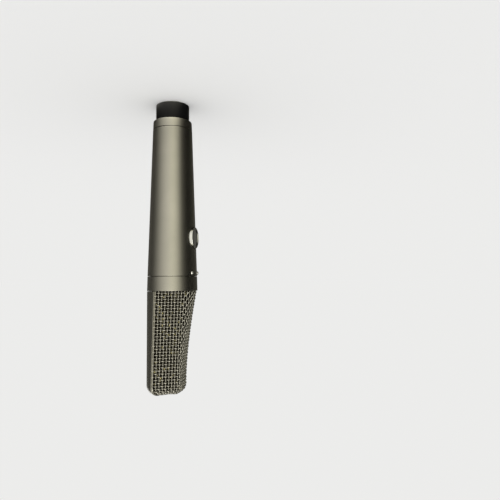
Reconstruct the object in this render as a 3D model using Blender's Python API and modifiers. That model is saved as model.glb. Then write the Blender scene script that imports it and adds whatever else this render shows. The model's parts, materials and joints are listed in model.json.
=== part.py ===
"""Side-address ribbon microphone: a conical tube, a connector collar and a grille head with a solid spine.

The z axis runs from the connector end (0) to the tip of the head. The front, with the badge, faces -y
and the spine of the head faces +y. Every size is in metres.
"""

import math

import bmesh
import bpy
from mathutils import Matrix, Vector

MM = 0.001
GAP = 0.3 * MM

# Outer stack, along the axis
COLLAR_TOP = 14.0 * MM
SPIGOT_TOP = 19.7 * MM
BASE_RING_BOTTOM = COLLAR_TOP + GAP
BASE_RING_TOP = 21.1 * MM
SHELL_BOTTOM = 21.6 * MM
SHELL_TOP = 143.1 * MM
HEAD_RING_BOTTOM = 143.4 * MM
HEAD_RING_TOP = 155.0 * MM
HEAD_BOTTOM = HEAD_RING_TOP + GAP
HEAD_TOP = 238.0 * MM

# Outer radii
COLLAR_RADIUS = 13.75 * MM
SPIGOT_RADIUS = 12.2 * MM
SOCKET_RADIUS = 9.7 * MM
SHELL_LOW_RADIUS = 16.25 * MM
SHELL_HIGH_RADIUS = 20.2 * MM
SHELL_WALL = 2.4 * MM
HEAD_RADIUS = 20.5 * MM
CHAMFER = 0.3 * MM
BASE_RING_LOW_RADIUS = 15.9 * MM
BASE_RING_HIGH_RADIUS = 16.2 * MM

# The head ring's bore and the spigot under it that goes into the tube
HEAD_RING_BORE = 18.0 * MM
HEAD_SPIGOT_OUTER = 17.15 * MM
HEAD_SPIGOT_INNER = 14.6 * MM
HEAD_SPIGOT_BOTTOM = 134.0 * MM

# Badge and case screws on the front
BADGE_HEIGHT = 111.9 * MM
BADGE_RADIUS = 8.7 * MM
BADGE_POCKET = 17.1 * MM
BADGE_FACE = 19.6 * MM
CASE_SCREW_HEIGHT = 140.6 * MM
CASE_SCREW_SPREAD = math.radians(18)

# Head: the grille's nose slopes back from the ring to the tip, the spine stays on the full radius
NOSE_BASE = 20.2 * MM
NOSE_TIP = 10.2 * MM
NOSE_SLOPE_END = 0.85
NOSE_SLOPE_POWER = 1.6
WALL_FACING = (75.0, 66.0)
SPINE_EDGE = (115.0, 125.0)
CORNER_TIP = 2.8 * MM
ROLL = 7.5 * MM
CROWN = 0.6 * MM
HUB_Y = 2.5 * MM
FRAME_WALL = 2.0 * MM
GRILLE_WALL = 1.0 * MM
SCREEN_INSET = 1.7 * MM
SCREEN_WALL = 0.4 * MM
WINDOW_HALF_WIDTH = 6.5 * MM
WINDOW_BOTTOM = 163.0 * MM
WINDOW_TOP = 224.0 * MM

# Connector
PIN_CIRCLE = 4.75 * MM
PIN_RADIUS = 1.2 * MM
PIN_BOTTOM = 1.8 * MM
PIN_TOP = 23.1 * MM
INSERT_BOTTOM = 14.2 * MM
INSERT_TOP = 19.0 * MM

# Chassis
BULKHEAD_RADIUS = 13.5 * MM
BULKHEAD_BOTTOM = 20.0 * MM
BULKHEAD_TOP = 26.0 * MM
BULKHEAD_BORE = 6.3 * MM
HEAD_BULKHEAD_RADIUS = 17.7 * MM
HEAD_BULKHEAD_BOTTOM = 152.0 * MM
HEAD_BULKHEAD_TOP = 154.8 * MM
RAIL_INNER = 9.6 * MM
RAIL_OUTER = 12.2 * MM
RAIL_HALF_WIDTH = 4.0 * MM
RAIL_FOOT = 5.8 * MM
RAIL_SCREW_X = 7.9 * MM

# Transformer and terminal board
SHELF_TOP = 55.7 * MM
CAN_BOTTOM = 56.0 * MM
CAN_TOP = 78.0 * MM
CAN_RADIUS = 9.2 * MM
BOARD_BOTTOM = 92.0 * MM
BOARD_TOP = 122.0 * MM

# Ribbon motor
RIBBON_Y = 1.0 * MM
RIBBON_HALF_WIDTH = 1.95 * MM
RIBBON_BOTTOM = 160.0 * MM
RIBBON_TOP = 228.4 * MM
RIBBON_THICKNESS = 0.1 * MM
WAVE_PITCH = 3.0 * MM
WAVE_DEPTH = 0.3 * MM
MOTOR_BOTTOM = 157.4 * MM
MOTOR_TOP = 229.5 * MM
MAGNET_BOTTOM = 164.5 * MM
MAGNET_TOP = 223.6 * MM

# Looks: colour, roughness, metallic
GUNMETAL = ((0.30, 0.29, 0.26), 0.42, 0.9)
BLACK = ((0.012, 0.012, 0.013), 0.38, 0.2)
WIRE = ((0.33, 0.32, 0.30), 0.35, 0.95)
BRASS_MESH = ((0.32, 0.24, 0.12), 0.4, 0.9)
CHROME = ((0.82, 0.82, 0.80), 0.08, 1.0)
STEEL = ((0.45, 0.45, 0.46), 0.3, 1.0)
ALUMINIUM = ((0.60, 0.61, 0.62), 0.35, 0.95)
BRASS = ((0.72, 0.55, 0.25), 0.28, 1.0)
GOLD = ((0.85, 0.66, 0.30), 0.2, 1.0)
MAGNET = ((0.20, 0.20, 0.21), 0.3, 0.9)
INSULATOR = ((0.03, 0.03, 0.032), 0.5, 0.0)
BOARD = ((0.02, 0.16, 0.07), 0.45, 0.0)
COPPER = ((0.55, 0.22, 0.10), 0.35, 0.9)
RUBBER = ((0.02, 0.02, 0.02), 0.8, 0.0)
FOIL = ((0.80, 0.81, 0.82), 0.25, 1.0)
RED = ((0.45, 0.03, 0.02), 0.5, 0.0)
WHITE = ((0.70, 0.70, 0.68), 0.5, 0.0)
BLACK_LEAD = ((0.02, 0.02, 0.02), 0.5, 0.0)


def mix(a, b, share):
    return a + (b - a) * share


def fresh_collections():
    """Empty the file and make one collection for the parts and one for the cutters."""
    for obj in list(bpy.data.objects):
        bpy.data.objects.remove(obj)
    for name in ("ribbon_microphone", "cutters"):
        bpy.context.scene.collection.children.link(bpy.data.collections.new(name))
    return bpy.data.collections["ribbon_microphone"], bpy.data.collections["cutters"]


PARTS, CUTTERS = fresh_collections()


def give_material(obj, look):
    colour, roughness, metallic = look
    material = bpy.data.materials.new(obj.name)
    material.use_nodes = True
    shader = material.node_tree.nodes["Principled BSDF"]
    shader.inputs["Base Color"].default_value = (*colour, 1.0)
    shader.inputs["Roughness"].default_value = roughness
    shader.inputs["Metallic"].default_value = metallic
    obj.data.materials.append(material)


def add_part(name, mesh, look, smooth_angle=35):
    """A named object for one sub-part, in the parts collection, with its own material."""
    obj = bpy.data.objects.new(name, mesh)
    PARTS.objects.link(obj)
    if obj.type == "MESH" and mesh.polygons:
        mesh.shade_smooth()
        mesh.set_sharp_from_angle(angle=math.radians(smooth_angle))
    give_material(obj, look)
    return obj


def add_cutter(name, mesh):
    obj = bpy.data.objects.new(name, mesh)
    CUTTERS.objects.link(obj)
    obj.hide_render = True
    obj.display_type = "WIRE"
    return obj


def cut(obj, *cutters):
    for cutter in cutters:
        hole = obj.modifiers.new("Cut_" + cutter.name, "BOOLEAN")
        hole.operation = "DIFFERENCE"
        hole.solver = "EXACT"
        hole.object = cutter


def bevel(obj, width, segments=1):
    edge = obj.modifiers.new("Edges", "BEVEL")
    edge.width = width
    edge.segments = segments
    edge.limit_method = "ANGLE"
    edge.angle_limit = math.radians(40)


def turned(name, profile, look, steps=32):
    """A turned piece. The profile lists (radius, height) down the outside, and up the bore if it has one."""
    closed = min(radius for radius, _ in profile) > 0.0
    count = len(profile)
    edges = [(i, i + 1) for i in range(count - 1)] + ([(count - 1, 0)] if closed else [])
    mesh = bpy.data.meshes.new(name)
    mesh.from_pydata([(radius, 0.0, height) for radius, height in profile], edges, [])
    obj = add_part(name, mesh, look)
    screw = obj.modifiers.new("Turn", "SCREW")
    screw.steps = screw.render_steps = steps
    screw.use_merge_vertices = True
    screw.merge_threshold = 0.000001
    screw.use_smooth_shade = False
    return obj


def rod_mesh(name, radius, length, segments=20):
    """A plain cylinder that starts at the origin and runs along +z."""
    work = bmesh.new()
    size = {"radius1": radius, "radius2": radius, "depth": length}
    bmesh.ops.create_cone(work, cap_ends=True, segments=segments, **size)
    bmesh.ops.translate(work, verts=work.verts, vec=(0.0, 0.0, length / 2))
    mesh = bpy.data.meshes.new(name)
    work.to_mesh(mesh)
    work.free()
    return mesh


def drill(name, radius, start, end, segments=20):
    """A round cutter from start to end."""
    start, end = Vector(start), Vector(end)
    along = end - start
    cutter = add_cutter(name, rod_mesh(name, radius, along.length, segments))
    cutter.matrix_world = Matrix.Translation(start) @ along.to_track_quat("Z", "Y").to_matrix().to_4x4()
    return cutter


def block_mesh(name, low, high):
    low, high = Vector(low), Vector(high)
    work = bmesh.new()
    bmesh.ops.create_cube(work, size=1.0)
    bmesh.ops.scale(work, verts=work.verts, vec=high - low)
    bmesh.ops.translate(work, verts=work.verts, vec=(low + high) / 2)
    mesh = bpy.data.meshes.new(name)
    work.to_mesh(mesh)
    work.free()
    return mesh


def block(name, low, high, look, edge=0.0):
    obj = add_part(name, block_mesh(name, low, high), look)
    if edge:
        bevel(obj, edge)
    return obj


def outline_mesh(name, outline, thickness):
    """A flat outline given in x and z, made thickness deep about the xz plane."""
    curve = bpy.data.curves.new(name, "CURVE")
    curve.dimensions = "2D"
    curve.fill_mode = "BOTH"
    curve.extrude = thickness / 2
    spline = curve.splines.new("POLY")
    spline.points.add(len(outline) - 1)
    for point, (x, z) in zip(spline.points, outline):
        point.co = (x, z, 0.0, 1.0)
    spline.use_cyclic_u = True
    guide = bpy.data.objects.new(name + "_outline", curve)
    CUTTERS.objects.link(guide)
    bpy.context.view_layer.update()
    evaluated = guide.evaluated_get(bpy.context.evaluated_depsgraph_get())
    mesh = bpy.data.meshes.new_from_object(evaluated)
    bpy.data.objects.remove(guide)
    work = bmesh.new()
    work.from_mesh(mesh)
    bmesh.ops.remove_doubles(work, verts=work.verts, dist=0.000001)
    bmesh.ops.rotate(work, verts=work.verts, cent=(0, 0, 0), matrix=Matrix.Rotation(math.pi / 2, 3, "X"))
    bmesh.ops.recalc_face_normals(work, faces=work.faces)
    work.to_mesh(mesh)
    work.free()
    return mesh


def rounded_slot(half_width, low, high, corner, steps=5):
    """Outline of an upright slot with round corners, centred on x = 0."""
    centres = [
        (half_width - corner, high - corner),
        (corner - half_width, high - corner),
        (corner - half_width, low + corner),
        (half_width - corner, low + corner),
    ]
    points = []
    for quarter, (x, z) in enumerate(centres):
        for step in range(steps + 1):
            angle = (quarter + step / steps) * math.pi / 2
            points.append((x + corner * math.cos(angle), z + corner * math.sin(angle)))
    return points


def machine_screw(name, radius, length, look, head_radius, head_height, place, toward):
    """A dome-head screw. place is the underside of the head, toward is the way the shank points."""
    dome = [
        (head_radius * math.sin(angle), head_height * (0.25 + 0.75 * math.cos(angle)))
        for angle in (0.0, math.radians(45), math.radians(90))
    ]
    profile = dome + [(head_radius, 0.0), (radius, 0.0), (radius, -length), (0.0, -length)]
    screw = turned(name, profile, look, steps=12)
    back = -Vector(toward)
    screw.matrix_world = Matrix.Translation(place) @ back.to_track_quat("Z", "Y").to_matrix().to_4x4()
    return screw


def smooth_route(points, per_span=3):
    """Points along a smooth curve through the given ones."""
    points = [Vector(point) for point in points]
    padded = [2 * points[0] - points[1], *points, 2 * points[-1] - points[-2]]
    route = []
    for i in range(1, len(padded) - 2):
        a, b, c, d = padded[i - 1 : i + 3]
        for step in range(per_span):
            t = step / per_span
            bend = (2 * a - 5 * b + 4 * c - d) * t * t + (3 * b - a - 3 * c + d) * t * t * t
            route.append(b + 0.5 * ((c - a) * t + bend))
    return [*route, points[-1]]


def lead(name, points, look, radius=0.4 * MM):
    """A thin insulated wire along a smooth route."""
    route = smooth_route(points)
    curve = bpy.data.curves.new(name, "CURVE")
    curve.dimensions = "3D"
    curve.bevel_depth = radius
    curve.bevel_resolution = 1
    curve.use_fill_caps = True
    spline = curve.splines.new("POLY")
    spline.points.add(len(route) - 1)
    for point, place in zip(spline.points, route):
        point.co = (*place, 1.0)
    return add_part(name, curve, look)


def shell_radius(height):
    share = (height - SHELL_BOTTOM) / (SHELL_TOP - SHELL_BOTTOM)
    return mix(SHELL_LOW_RADIUS, SHELL_HIGH_RADIUS, share)


def front_direction(angle):
    """Unit vector at an angle from the front, -y, turning towards +x."""
    return Vector((math.sin(angle), -math.cos(angle), 0.0))


# The case


def make_base_collar():
    rim = 0.6 * MM
    collar = turned(
        "base_collar",
        [
            (SPIGOT_RADIUS, SPIGOT_TOP),
            (SPIGOT_RADIUS, COLLAR_TOP),
            (COLLAR_RADIUS - CHAMFER, COLLAR_TOP),
            (COLLAR_RADIUS, COLLAR_TOP - CHAMFER),
            (COLLAR_RADIUS, rim),
            (COLLAR_RADIUS - rim, 0.0),
            (SOCKET_RADIUS + rim, 0.0),
            (SOCKET_RADIUS, rim),
            (SOCKET_RADIUS, SPIGOT_TOP),
        ],
        BLACK,
        steps=48,
    )
    height = (INSERT_BOTTOM + INSERT_TOP) / 2
    cut(collar, drill("set_screw_hole", 1.3 * MM, (0, SOCKET_RADIUS - MM, height), (0, 15 * MM, height)))
    set_screw = add_part("insert_set_screw", rod_mesh("insert_set_screw", 1.0 * MM, 2.2 * MM, 16), STEEL)
    set_screw.location = (0.0, SOCKET_RADIUS + 0.1 * MM, height)
    set_screw.rotation_euler = (-math.pi / 2, 0.0, 0.0)


def make_base_ring():
    turned(
        "base_ring",
        [
            (BASE_RING_HIGH_RADIUS - CHAMFER, BASE_RING_TOP),
            (BASE_RING_HIGH_RADIUS, BASE_RING_TOP - CHAMFER),
            (BASE_RING_LOW_RADIUS, BASE_RING_BOTTOM + CHAMFER),
            (BASE_RING_LOW_RADIUS - CHAMFER, BASE_RING_BOTTOM),
            (SPIGOT_RADIUS + GAP, BASE_RING_BOTTOM),
            (SPIGOT_RADIUS + GAP, SPIGOT_TOP),
            (BULKHEAD_RADIUS + GAP, SPIGOT_TOP),
            (BULKHEAD_RADIUS + GAP, BASE_RING_TOP),
        ],
        GUNMETAL,
        steps=48,
    )


def make_body_shell():
    shell = turned(
        "body_shell",
        [
            (SHELL_HIGH_RADIUS - CHAMFER, SHELL_TOP),
            (SHELL_HIGH_RADIUS, SHELL_TOP - CHAMFER),
            (SHELL_LOW_RADIUS, SHELL_BOTTOM + CHAMFER),
            (SHELL_LOW_RADIUS - CHAMFER, SHELL_BOTTOM),
            (SHELL_LOW_RADIUS - SHELL_WALL, SHELL_BOTTOM),
            (SHELL_HIGH_RADIUS - SHELL_WALL, SHELL_TOP),
        ],
        GUNMETAL,
        steps=60,
    )
    pocket = drill(
        "badge_pocket",
        BADGE_RADIUS + GAP,
        (0, -BADGE_POCKET, BADGE_HEIGHT),
        (0, -HEAD_RADIUS - 3 * MM, BADGE_HEIGHT),
        segments=40,
    )
    cut(shell, pocket)
    return shell


def make_badge():
    rim = 0.9 * MM
    raised = 0.35 * MM
    depth = BADGE_FACE - (BADGE_POCKET + GAP)
    face = [(BADGE_RADIUS - rim, depth), (BADGE_RADIUS - rim, depth + raised)]
    badge = turned(
        "badge",
        [
            (0.0, depth + 0.25 * MM),
            (3.0 * MM, depth + 0.2 * MM),
            (5.2 * MM, depth + 0.08 * MM),
            *face,
            (BADGE_RADIUS - 0.25 * MM, depth + raised),
            (BADGE_RADIUS, depth + raised - 0.25 * MM),
            (BADGE_RADIUS, 0.0),
            (0.0, 0.0),
        ],
        CHROME,
        steps=32,
    )
    badge.location = (0.0, -(BADGE_POCKET + GAP), BADGE_HEIGHT)
    badge.rotation_euler = (math.pi / 2, 0.0, 0.0)


def make_head_ring():
    return turned(
        "head_ring",
        [
            (HEAD_RING_BORE, HEAD_RING_TOP),
            (HEAD_RADIUS - CHAMFER, HEAD_RING_TOP),
            (HEAD_RADIUS, HEAD_RING_TOP - CHAMFER),
            (SHELL_HIGH_RADIUS + 0.02 * MM, HEAD_RING_BOTTOM + CHAMFER),
            (SHELL_HIGH_RADIUS - CHAMFER, HEAD_RING_BOTTOM),
            (HEAD_SPIGOT_OUTER, HEAD_RING_BOTTOM),
            (HEAD_SPIGOT_OUTER, HEAD_SPIGOT_BOTTOM),
            (HEAD_SPIGOT_INNER, HEAD_SPIGOT_BOTTOM),
            (HEAD_SPIGOT_INNER, HEAD_BULKHEAD_BOTTOM - GAP),
            (HEAD_RING_BORE, HEAD_BULKHEAD_BOTTOM - GAP),
        ],
        GUNMETAL,
        steps=60,
    )


def make_case_screws(shell, ring):
    """Two dome-head screws through the tube into the ring's spigot, each in a shallow seat."""
    surface = shell_radius(CASE_SCREW_HEIGHT)
    for number, side in ((1, -1), (2, 1)):
        out = front_direction(side * CASE_SCREW_SPREAD)
        centre = Vector((0.0, 0.0, CASE_SCREW_HEIGHT))
        seat = centre + out * (surface - 0.35 * MM)
        outside = centre + out * (surface + 3 * MM)
        cut(shell, drill(f"case_screw_seat_{number}", 1.8 * MM, seat, outside, 24))
        hole = drill(f"case_screw_hole_{number}", 1.1 * MM, centre + out * 12 * MM, outside, 16)
        cut(shell, hole)
        cut(ring, hole)
        underside = centre + out * (surface - 0.05 * MM)
        head_size = (1.5 * MM, 0.95 * MM)
        machine_screw(f"case_screw_{number}", 0.8 * MM, 4.4 * MM, CHROME, *head_size, underside, -out)


# The head


class HeadSection:
    """Outline of the head at one height: flat nose, corner arc, flat side wall and round spine."""

    def __init__(self, height, inset=0.0, thickness=0.0):
        share = min(max((height - HEAD_BOTTOM) / (HEAD_TOP - HEAD_BOTTOM), 0.0), 1.0)
        slope = (1.0 - min(share / NOSE_SLOPE_END, 1.0)) ** NOSE_SLOPE_POWER
        nose = mix(NOSE_TIP, NOSE_BASE, slope)
        self.facing = math.radians(mix(*WALL_FACING, share))
        edge = math.radians(mix(*SPINE_EDGE, share))
        wall = HEAD_RADIUS * math.cos(edge - self.facing)
        widest = (wall - nose * math.cos(self.facing)) / (1.0 - math.cos(self.facing))
        corner = mix(widest, CORNER_TIP, share**0.8)
        self.corner = corner - inset
        self.nose = nose - inset
        self.radius = HEAD_RADIUS - inset
        self.edge = self.facing + math.acos((wall - inset) / self.radius)
        behind = (nose - corner) * math.cos(self.facing)
        self.flat = (wall - corner - behind) / math.sin(self.facing)
        self.pivot = Vector((self.flat, corner - nose, 0.0))
        depth, lean = inset + thickness, edge - self.facing
        beside_edge = min(depth, FRAME_WALL * math.cos(lean)) * math.tan(lean)
        self.margin = 2 * GAP + max(beside_edge, 1.1 * depth * math.sin(lean))

    def grille_point(self, share):
        """A point from the middle of the front (0) to the edge of the spine (1), by length along it."""
        start = self.pivot + front_direction(self.facing) * self.corner
        end = front_direction(self.edge) * self.radius
        arc = self.corner * self.facing
        wall = (end - start).length - self.margin
        along = share * (self.flat + arc + wall)
        if along < self.flat:
            return Vector((along, -self.nose, 0.0))
        along -= self.flat
        if along < arc:
            return self.pivot + front_direction(along / self.corner) * self.corner
        return start + (end - start).normalized() * (along - arc)

    def spine_point(self, share):
        """A point from the edge of the spine (0) to the middle of the back (1)."""
        return front_direction(mix(self.edge, math.pi, share)) * self.radius


def head_point(kind, share, level, inset=0.0, thickness=0.0):
    """A point of the head's skin. level is 0 to 1 up the wall, 2 at the end of the roll, 3 at the hub."""
    roll = ROLL - inset
    top = HEAD_TOP - inset
    turn = math.pi / 2 * min(max(level - 1.0, 0.0), 1.0)
    height = mix(HEAD_BOTTOM, top - roll, min(level, 1.0)) + roll * math.sin(turn)
    section = HeadSection(height, inset, thickness)
    section.margin *= 2.0 - math.cos(turn)  # the gap beside the spine narrows as both lean in
    point = section.grille_point(share) if kind == "grille" else section.spine_point(share)
    hub = Vector((0.0, HUB_Y, 0.0))
    point += (hub - point).normalized() * roll * (1.0 - math.cos(turn))
    inward = max(level - 2.0, 0.0)
    point = point.lerp(hub, inward)
    if share == (0.0 if kind == "grille" else 1.0):
        point.x = 0.0
    point.z = height + CROWN * inward * (2.0 - inward)
    return point


def skin(name, rows, look, thickness, mirror=True):
    """An open sheet of quads from rows of points, mirrored on x = 0 and made thick towards the inside."""
    work = bmesh.new()
    grid = [[work.verts.new(point) if point is not None else None for point in row] for row in rows]
    for low, high in zip(grid, grid[1:]):
        for corners in zip(low, low[1:], high[1:], high):
            if None not in corners:
                work.faces.new(corners)
    bmesh.ops.remove_doubles(work, verts=work.verts, dist=0.000001)
    loose = [vert for vert in work.verts if not vert.link_faces]
    bmesh.ops.delete(work, geom=loose, context="VERTS")
    mesh = bpy.data.meshes.new(name)
    work.to_mesh(mesh)
    work.free()
    obj = add_part(name, mesh, look)
    if mirror:
        halves = obj.modifiers.new("Halves", "MIRROR")
        halves.merge_threshold = 0.00001
    wall = obj.modifiers.new("Wall", "SOLIDIFY")
    wall.thickness = thickness
    wall.offset = -1.0
    return obj


def spread(start, end, count):
    return [mix(start, end, step / count) for step in range(count + 1)]


def make_front_skin(name, inset, thickness, look, columns, rows):
    """The grille or its screen: the front wall, the roll over the tip, and the top inside the spine."""
    frame_lip = 2.13
    levels = spread(0.0, 1.0, rows) + spread(1.0, 2.0, 4)[1:] + [frame_lip, 2.4, 2.7, 3.0]
    front = [("grille", share) for share in spread(0.0, 1.0, columns)]
    back = [("spine", share) for share in spread(0.0, 1.0, 6)[1:]]
    grid = []
    for level in levels:
        row = [head_point(kind, share, level, inset, thickness) for kind, share in front]
        hidden = level < frame_lip
        row += [None if hidden else head_point(kind, share, level, inset) for kind, share in back]
        grid.append(row)
    skin(name, grid, look, thickness)


def make_head_frame():
    """The spine: it stands on the ring, rolls over at the tip, and has a window in its back."""
    levels = spread(0.0, 1.0, 5) + spread(1.0, 2.0, 4)[1:] + [2.08]
    shares = spread(0.0, 1.0, 10)
    grid = [[head_point("spine", share, level) for share in shares] for level in levels]
    frame = skin("head_frame", grid, GUNMETAL, FRAME_WALL)
    slot = rounded_slot(WINDOW_HALF_WIDTH, WINDOW_BOTTOM, WINDOW_TOP, 3.0 * MM)
    window = add_cutter("rear_window", outline_mesh("rear_window", slot, 8.0 * MM))
    window.location = (0.0, HEAD_RADIUS - MM, 0.0)
    cut(frame, window)


def make_rear_skin(name, radius, half_angle, low, high, thickness, look):
    """A piece of cylinder behind the window in the spine."""
    reach = math.radians(half_angle)
    angles = spread(math.pi - reach, math.pi, 5)
    heights = spread(low, high, 4)
    grid = []
    for height in heights:
        row = [front_direction(angle) * radius + Vector((0, 0, height)) for angle in angles]
        row[-1].x = 0.0
        grid.append(row)
    skin(name, grid, look, thickness)


def make_head():
    make_head_frame()
    make_front_skin("front_grille", 0.0, GRILLE_WALL, WIRE, columns=11, rows=8)
    make_front_skin("front_screen", SCREEN_INSET, SCREEN_WALL, BRASS_MESH, columns=8, rows=5)
    grille_radius = HEAD_RADIUS - FRAME_WALL - GAP
    make_rear_skin("rear_grille", grille_radius, 23, 160 * MM, 228 * MM, GRILLE_WALL, WIRE)
    screen_radius = grille_radius - GRILLE_WALL - GAP
    make_rear_skin("rear_screen", screen_radius, 22, 160.5 * MM, 227.5 * MM, SCREEN_WALL, BRASS_MESH)


# The connector


def make_connector():
    insert = turned(
        "xlr_insert",
        [
            (0.0, INSERT_TOP),
            (SOCKET_RADIUS - GAP, INSERT_TOP),
            (SOCKET_RADIUS - GAP, INSERT_BOTTOM),
            (0.0, INSERT_BOTTOM),
        ],
        INSULATOR,
    )
    places = {1: (-PIN_CIRCLE, 0.0), 2: (PIN_CIRCLE, 0.0), 3: (0.0, -PIN_CIRCLE)}
    for number, (x, y) in places.items():
        low, high = (x, y, INSERT_BOTTOM - MM), (x, y, INSERT_TOP + MM)
        cut(insert, drill(f"pin_hole_{number}", PIN_RADIUS + GAP, low, high))
        nose = [
            (PIN_RADIUS * math.cos(angle), PIN_BOTTOM + PIN_RADIUS * (1.0 - math.sin(angle)))
            for angle in (0.0, math.radians(35), math.radians(65), math.radians(90))
        ]
        nose[-1] = (0.0, PIN_BOTTOM)
        pin = turned(f"xlr_pin_{number}", [(0.0, PIN_TOP), (PIN_RADIUS, PIN_TOP), *nose], GOLD, steps=20)
        pin.location = (x, y, 0.0)
    return places


# The chassis


def make_bulkheads():
    base = turned(
        "base_bulkhead",
        [
            (BULKHEAD_RADIUS, BULKHEAD_TOP),
            (BULKHEAD_RADIUS, BULKHEAD_BOTTOM),
            (BULKHEAD_BORE, BULKHEAD_BOTTOM),
            (BULKHEAD_BORE, BULKHEAD_TOP),
        ],
        ALUMINIUM,
    )
    head = turned(
        "head_bulkhead",
        [
            (0.0, HEAD_BULKHEAD_TOP),
            (HEAD_BULKHEAD_RADIUS, HEAD_BULKHEAD_TOP),
            (HEAD_BULKHEAD_RADIUS, HEAD_BULKHEAD_BOTTOM),
            (0.0, HEAD_BULKHEAD_BOTTOM),
        ],
        ALUMINIUM,
    )
    under, over = HEAD_BULKHEAD_BOTTOM - MM, HEAD_BULKHEAD_TOP + MM
    cut(head, drill("lead_hole", 2.2 * MM, (0, -8 * MM, under), (0, -8 * MM, over)))
    return base, head


def make_rails(base, head):
    """Two C-shaped strips between the bulkheads, with a screw through each foot."""
    low = BULKHEAD_TOP + GAP
    high = HEAD_BULKHEAD_BOTTOM - GAP
    foot = 1.6 * MM
    rails = {}
    for number, (side, name) in enumerate(((-1, "rail_left"), (1, "rail_right"))):
        outline = [
            (side * RAIL_OUTER, low),
            (side * RAIL_OUTER, high),
            (side * RAIL_FOOT, high),
            (side * RAIL_FOOT, high - foot),
            (side * RAIL_INNER, high - foot),
            (side * RAIL_INNER, low + foot),
            (side * RAIL_FOOT, low + foot),
            (side * RAIL_FOOT, low),
        ]
        rail = add_part(name, outline_mesh(name, outline, 2 * RAIL_HALF_WIDTH), ALUMINIUM)
        x = side * RAIL_SCREW_X
        bottom_hole = drill(f"foot_hole_{number}", 1.1 * MM, (x, 0, 20.7 * MM), (x, 0, low + 4 * MM), 16)
        top_hole = drill(f"top_foot_hole_{number}", 1.1 * MM, (x, 0, high - 4 * MM), (x, 0, 154.5 * MM), 16)
        cut(rail, bottom_hole, top_hole)
        cut(base, bottom_hole)
        cut(head, top_hole)
        head_size = (1.4 * MM, 1.1 * MM)
        low_place = (x, 0, low + foot + GAP)
        high_place = (x, 0, high - foot - GAP)
        machine_screw(f"rail_screw_{number + 1}", 0.8 * MM, 6 * MM, STEEL, *head_size, low_place, (0, 0, -1))
        machine_screw(f"rail_screw_{number + 3}", 0.8 * MM, 4 * MM, STEEL, *head_size, high_place, (0, 0, 1))
        rails[side] = rail
    return rails


def make_transformer(rails):
    """A shelf between the rails, and on it a can that holds the core and its winding."""
    shelf_half = RAIL_INNER - GAP
    sheet = 1.3 * MM
    tab = 46.0 * MM
    outline = [
        (-shelf_half, tab),
        (-shelf_half, SHELF_TOP),
        (shelf_half, SHELF_TOP),
        (shelf_half, tab),
        (shelf_half - sheet, tab),
        (shelf_half - sheet, SHELF_TOP - sheet),
        (sheet - shelf_half, SHELF_TOP - sheet),
        (sheet - shelf_half, tab),
    ]
    shelf = add_part("transformer_shelf", outline_mesh("transformer_shelf", outline, 10 * MM), ALUMINIUM)
    height = 50.0 * MM
    for side, name in ((-1, "left"), (1, "right")):
        outside, inside = side * 15 * MM, side * 6 * MM
        hole = drill(f"shelf_hole_{name}", 1.1 * MM, (inside, 0, height), (outside, 0, height), 16)
        cut(rails[side], hole)
        cut(shelf, hole)
        place = (side * (RAIL_OUTER + GAP), 0, height)
        head_size = (1.4 * MM, 1.0 * MM)
        machine_screw(f"shelf_screw_{name}", 0.8 * MM, 4.2 * MM, STEEL, *head_size, place, (-side, 0, 0))

    wall = 0.7 * MM
    bore = CAN_RADIUS - wall
    floor = CAN_BOTTOM + MM
    turned(
        "transformer_can",
        [
            (0.0, floor),
            (bore, floor),
            (bore, CAN_TOP),
            (CAN_RADIUS, CAN_TOP),
            (CAN_RADIUS, CAN_BOTTOM),
            (0.0, CAN_BOTTOM),
        ],
        STEEL,
    )

    core_low, core_high = 58.0 * MM, 73.0 * MM
    core = block("transformer_core", (-7.4 * MM, -3.2 * MM, core_low), (7.4 * MM, 3.2 * MM, core_high), STEEL)
    for side, name in ((-1, "left"), (1, "right")):
        edges = sorted((side * 1.9 * MM, side * 4.9 * MM))
        low, high = (edges[0], -5 * MM, 61 * MM), (edges[1], 5 * MM, 70 * MM)
        cut(core, add_cutter(f"core_window_{name}", block_mesh(f"core_window_{name}", low, high)))
    coil_low, coil_high = 61.3 * MM, 69.7 * MM
    coil = block("transformer_coil", (-4.6 * MM, -6 * MM, coil_low), (4.6 * MM, 6 * MM, coil_high), COPPER)
    low, high = (-2.2 * MM, -3.5 * MM, coil_low - MM), (2.2 * MM, 3.5 * MM, coil_high + MM)
    cut(coil, add_cutter("coil_bore", block_mesh("coil_bore", low, high)))


def make_terminal_board(rails):
    """A small circuit board across the back edges of the rails."""
    front = RAIL_HALF_WIDTH + GAP
    back = front + 1.6 * MM
    low, high = (-11.8 * MM, front, BOARD_BOTTOM), (11.8 * MM, back, BOARD_TOP)
    board = block("terminal_board", low, high, BOARD)
    height = (BOARD_BOTTOM + BOARD_TOP) / 2
    for side, name in ((-1, "left"), (1, "right")):
        x = side * (RAIL_INNER + RAIL_OUTER) / 2
        hole = drill(f"board_hole_{name}", 0.9 * MM, (x, 0, height), (x, back + 2 * MM, height), 16)
        cut(board, hole)
        cut(rails[side], hole)
        place = (x, back + GAP, height)
        machine_screw(f"board_screw_{name}", 0.6 * MM, 4.6 * MM, STEEL, 1.2 * MM, 0.9 * MM, place, (0, -1, 0))


# The ribbon motor


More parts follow.
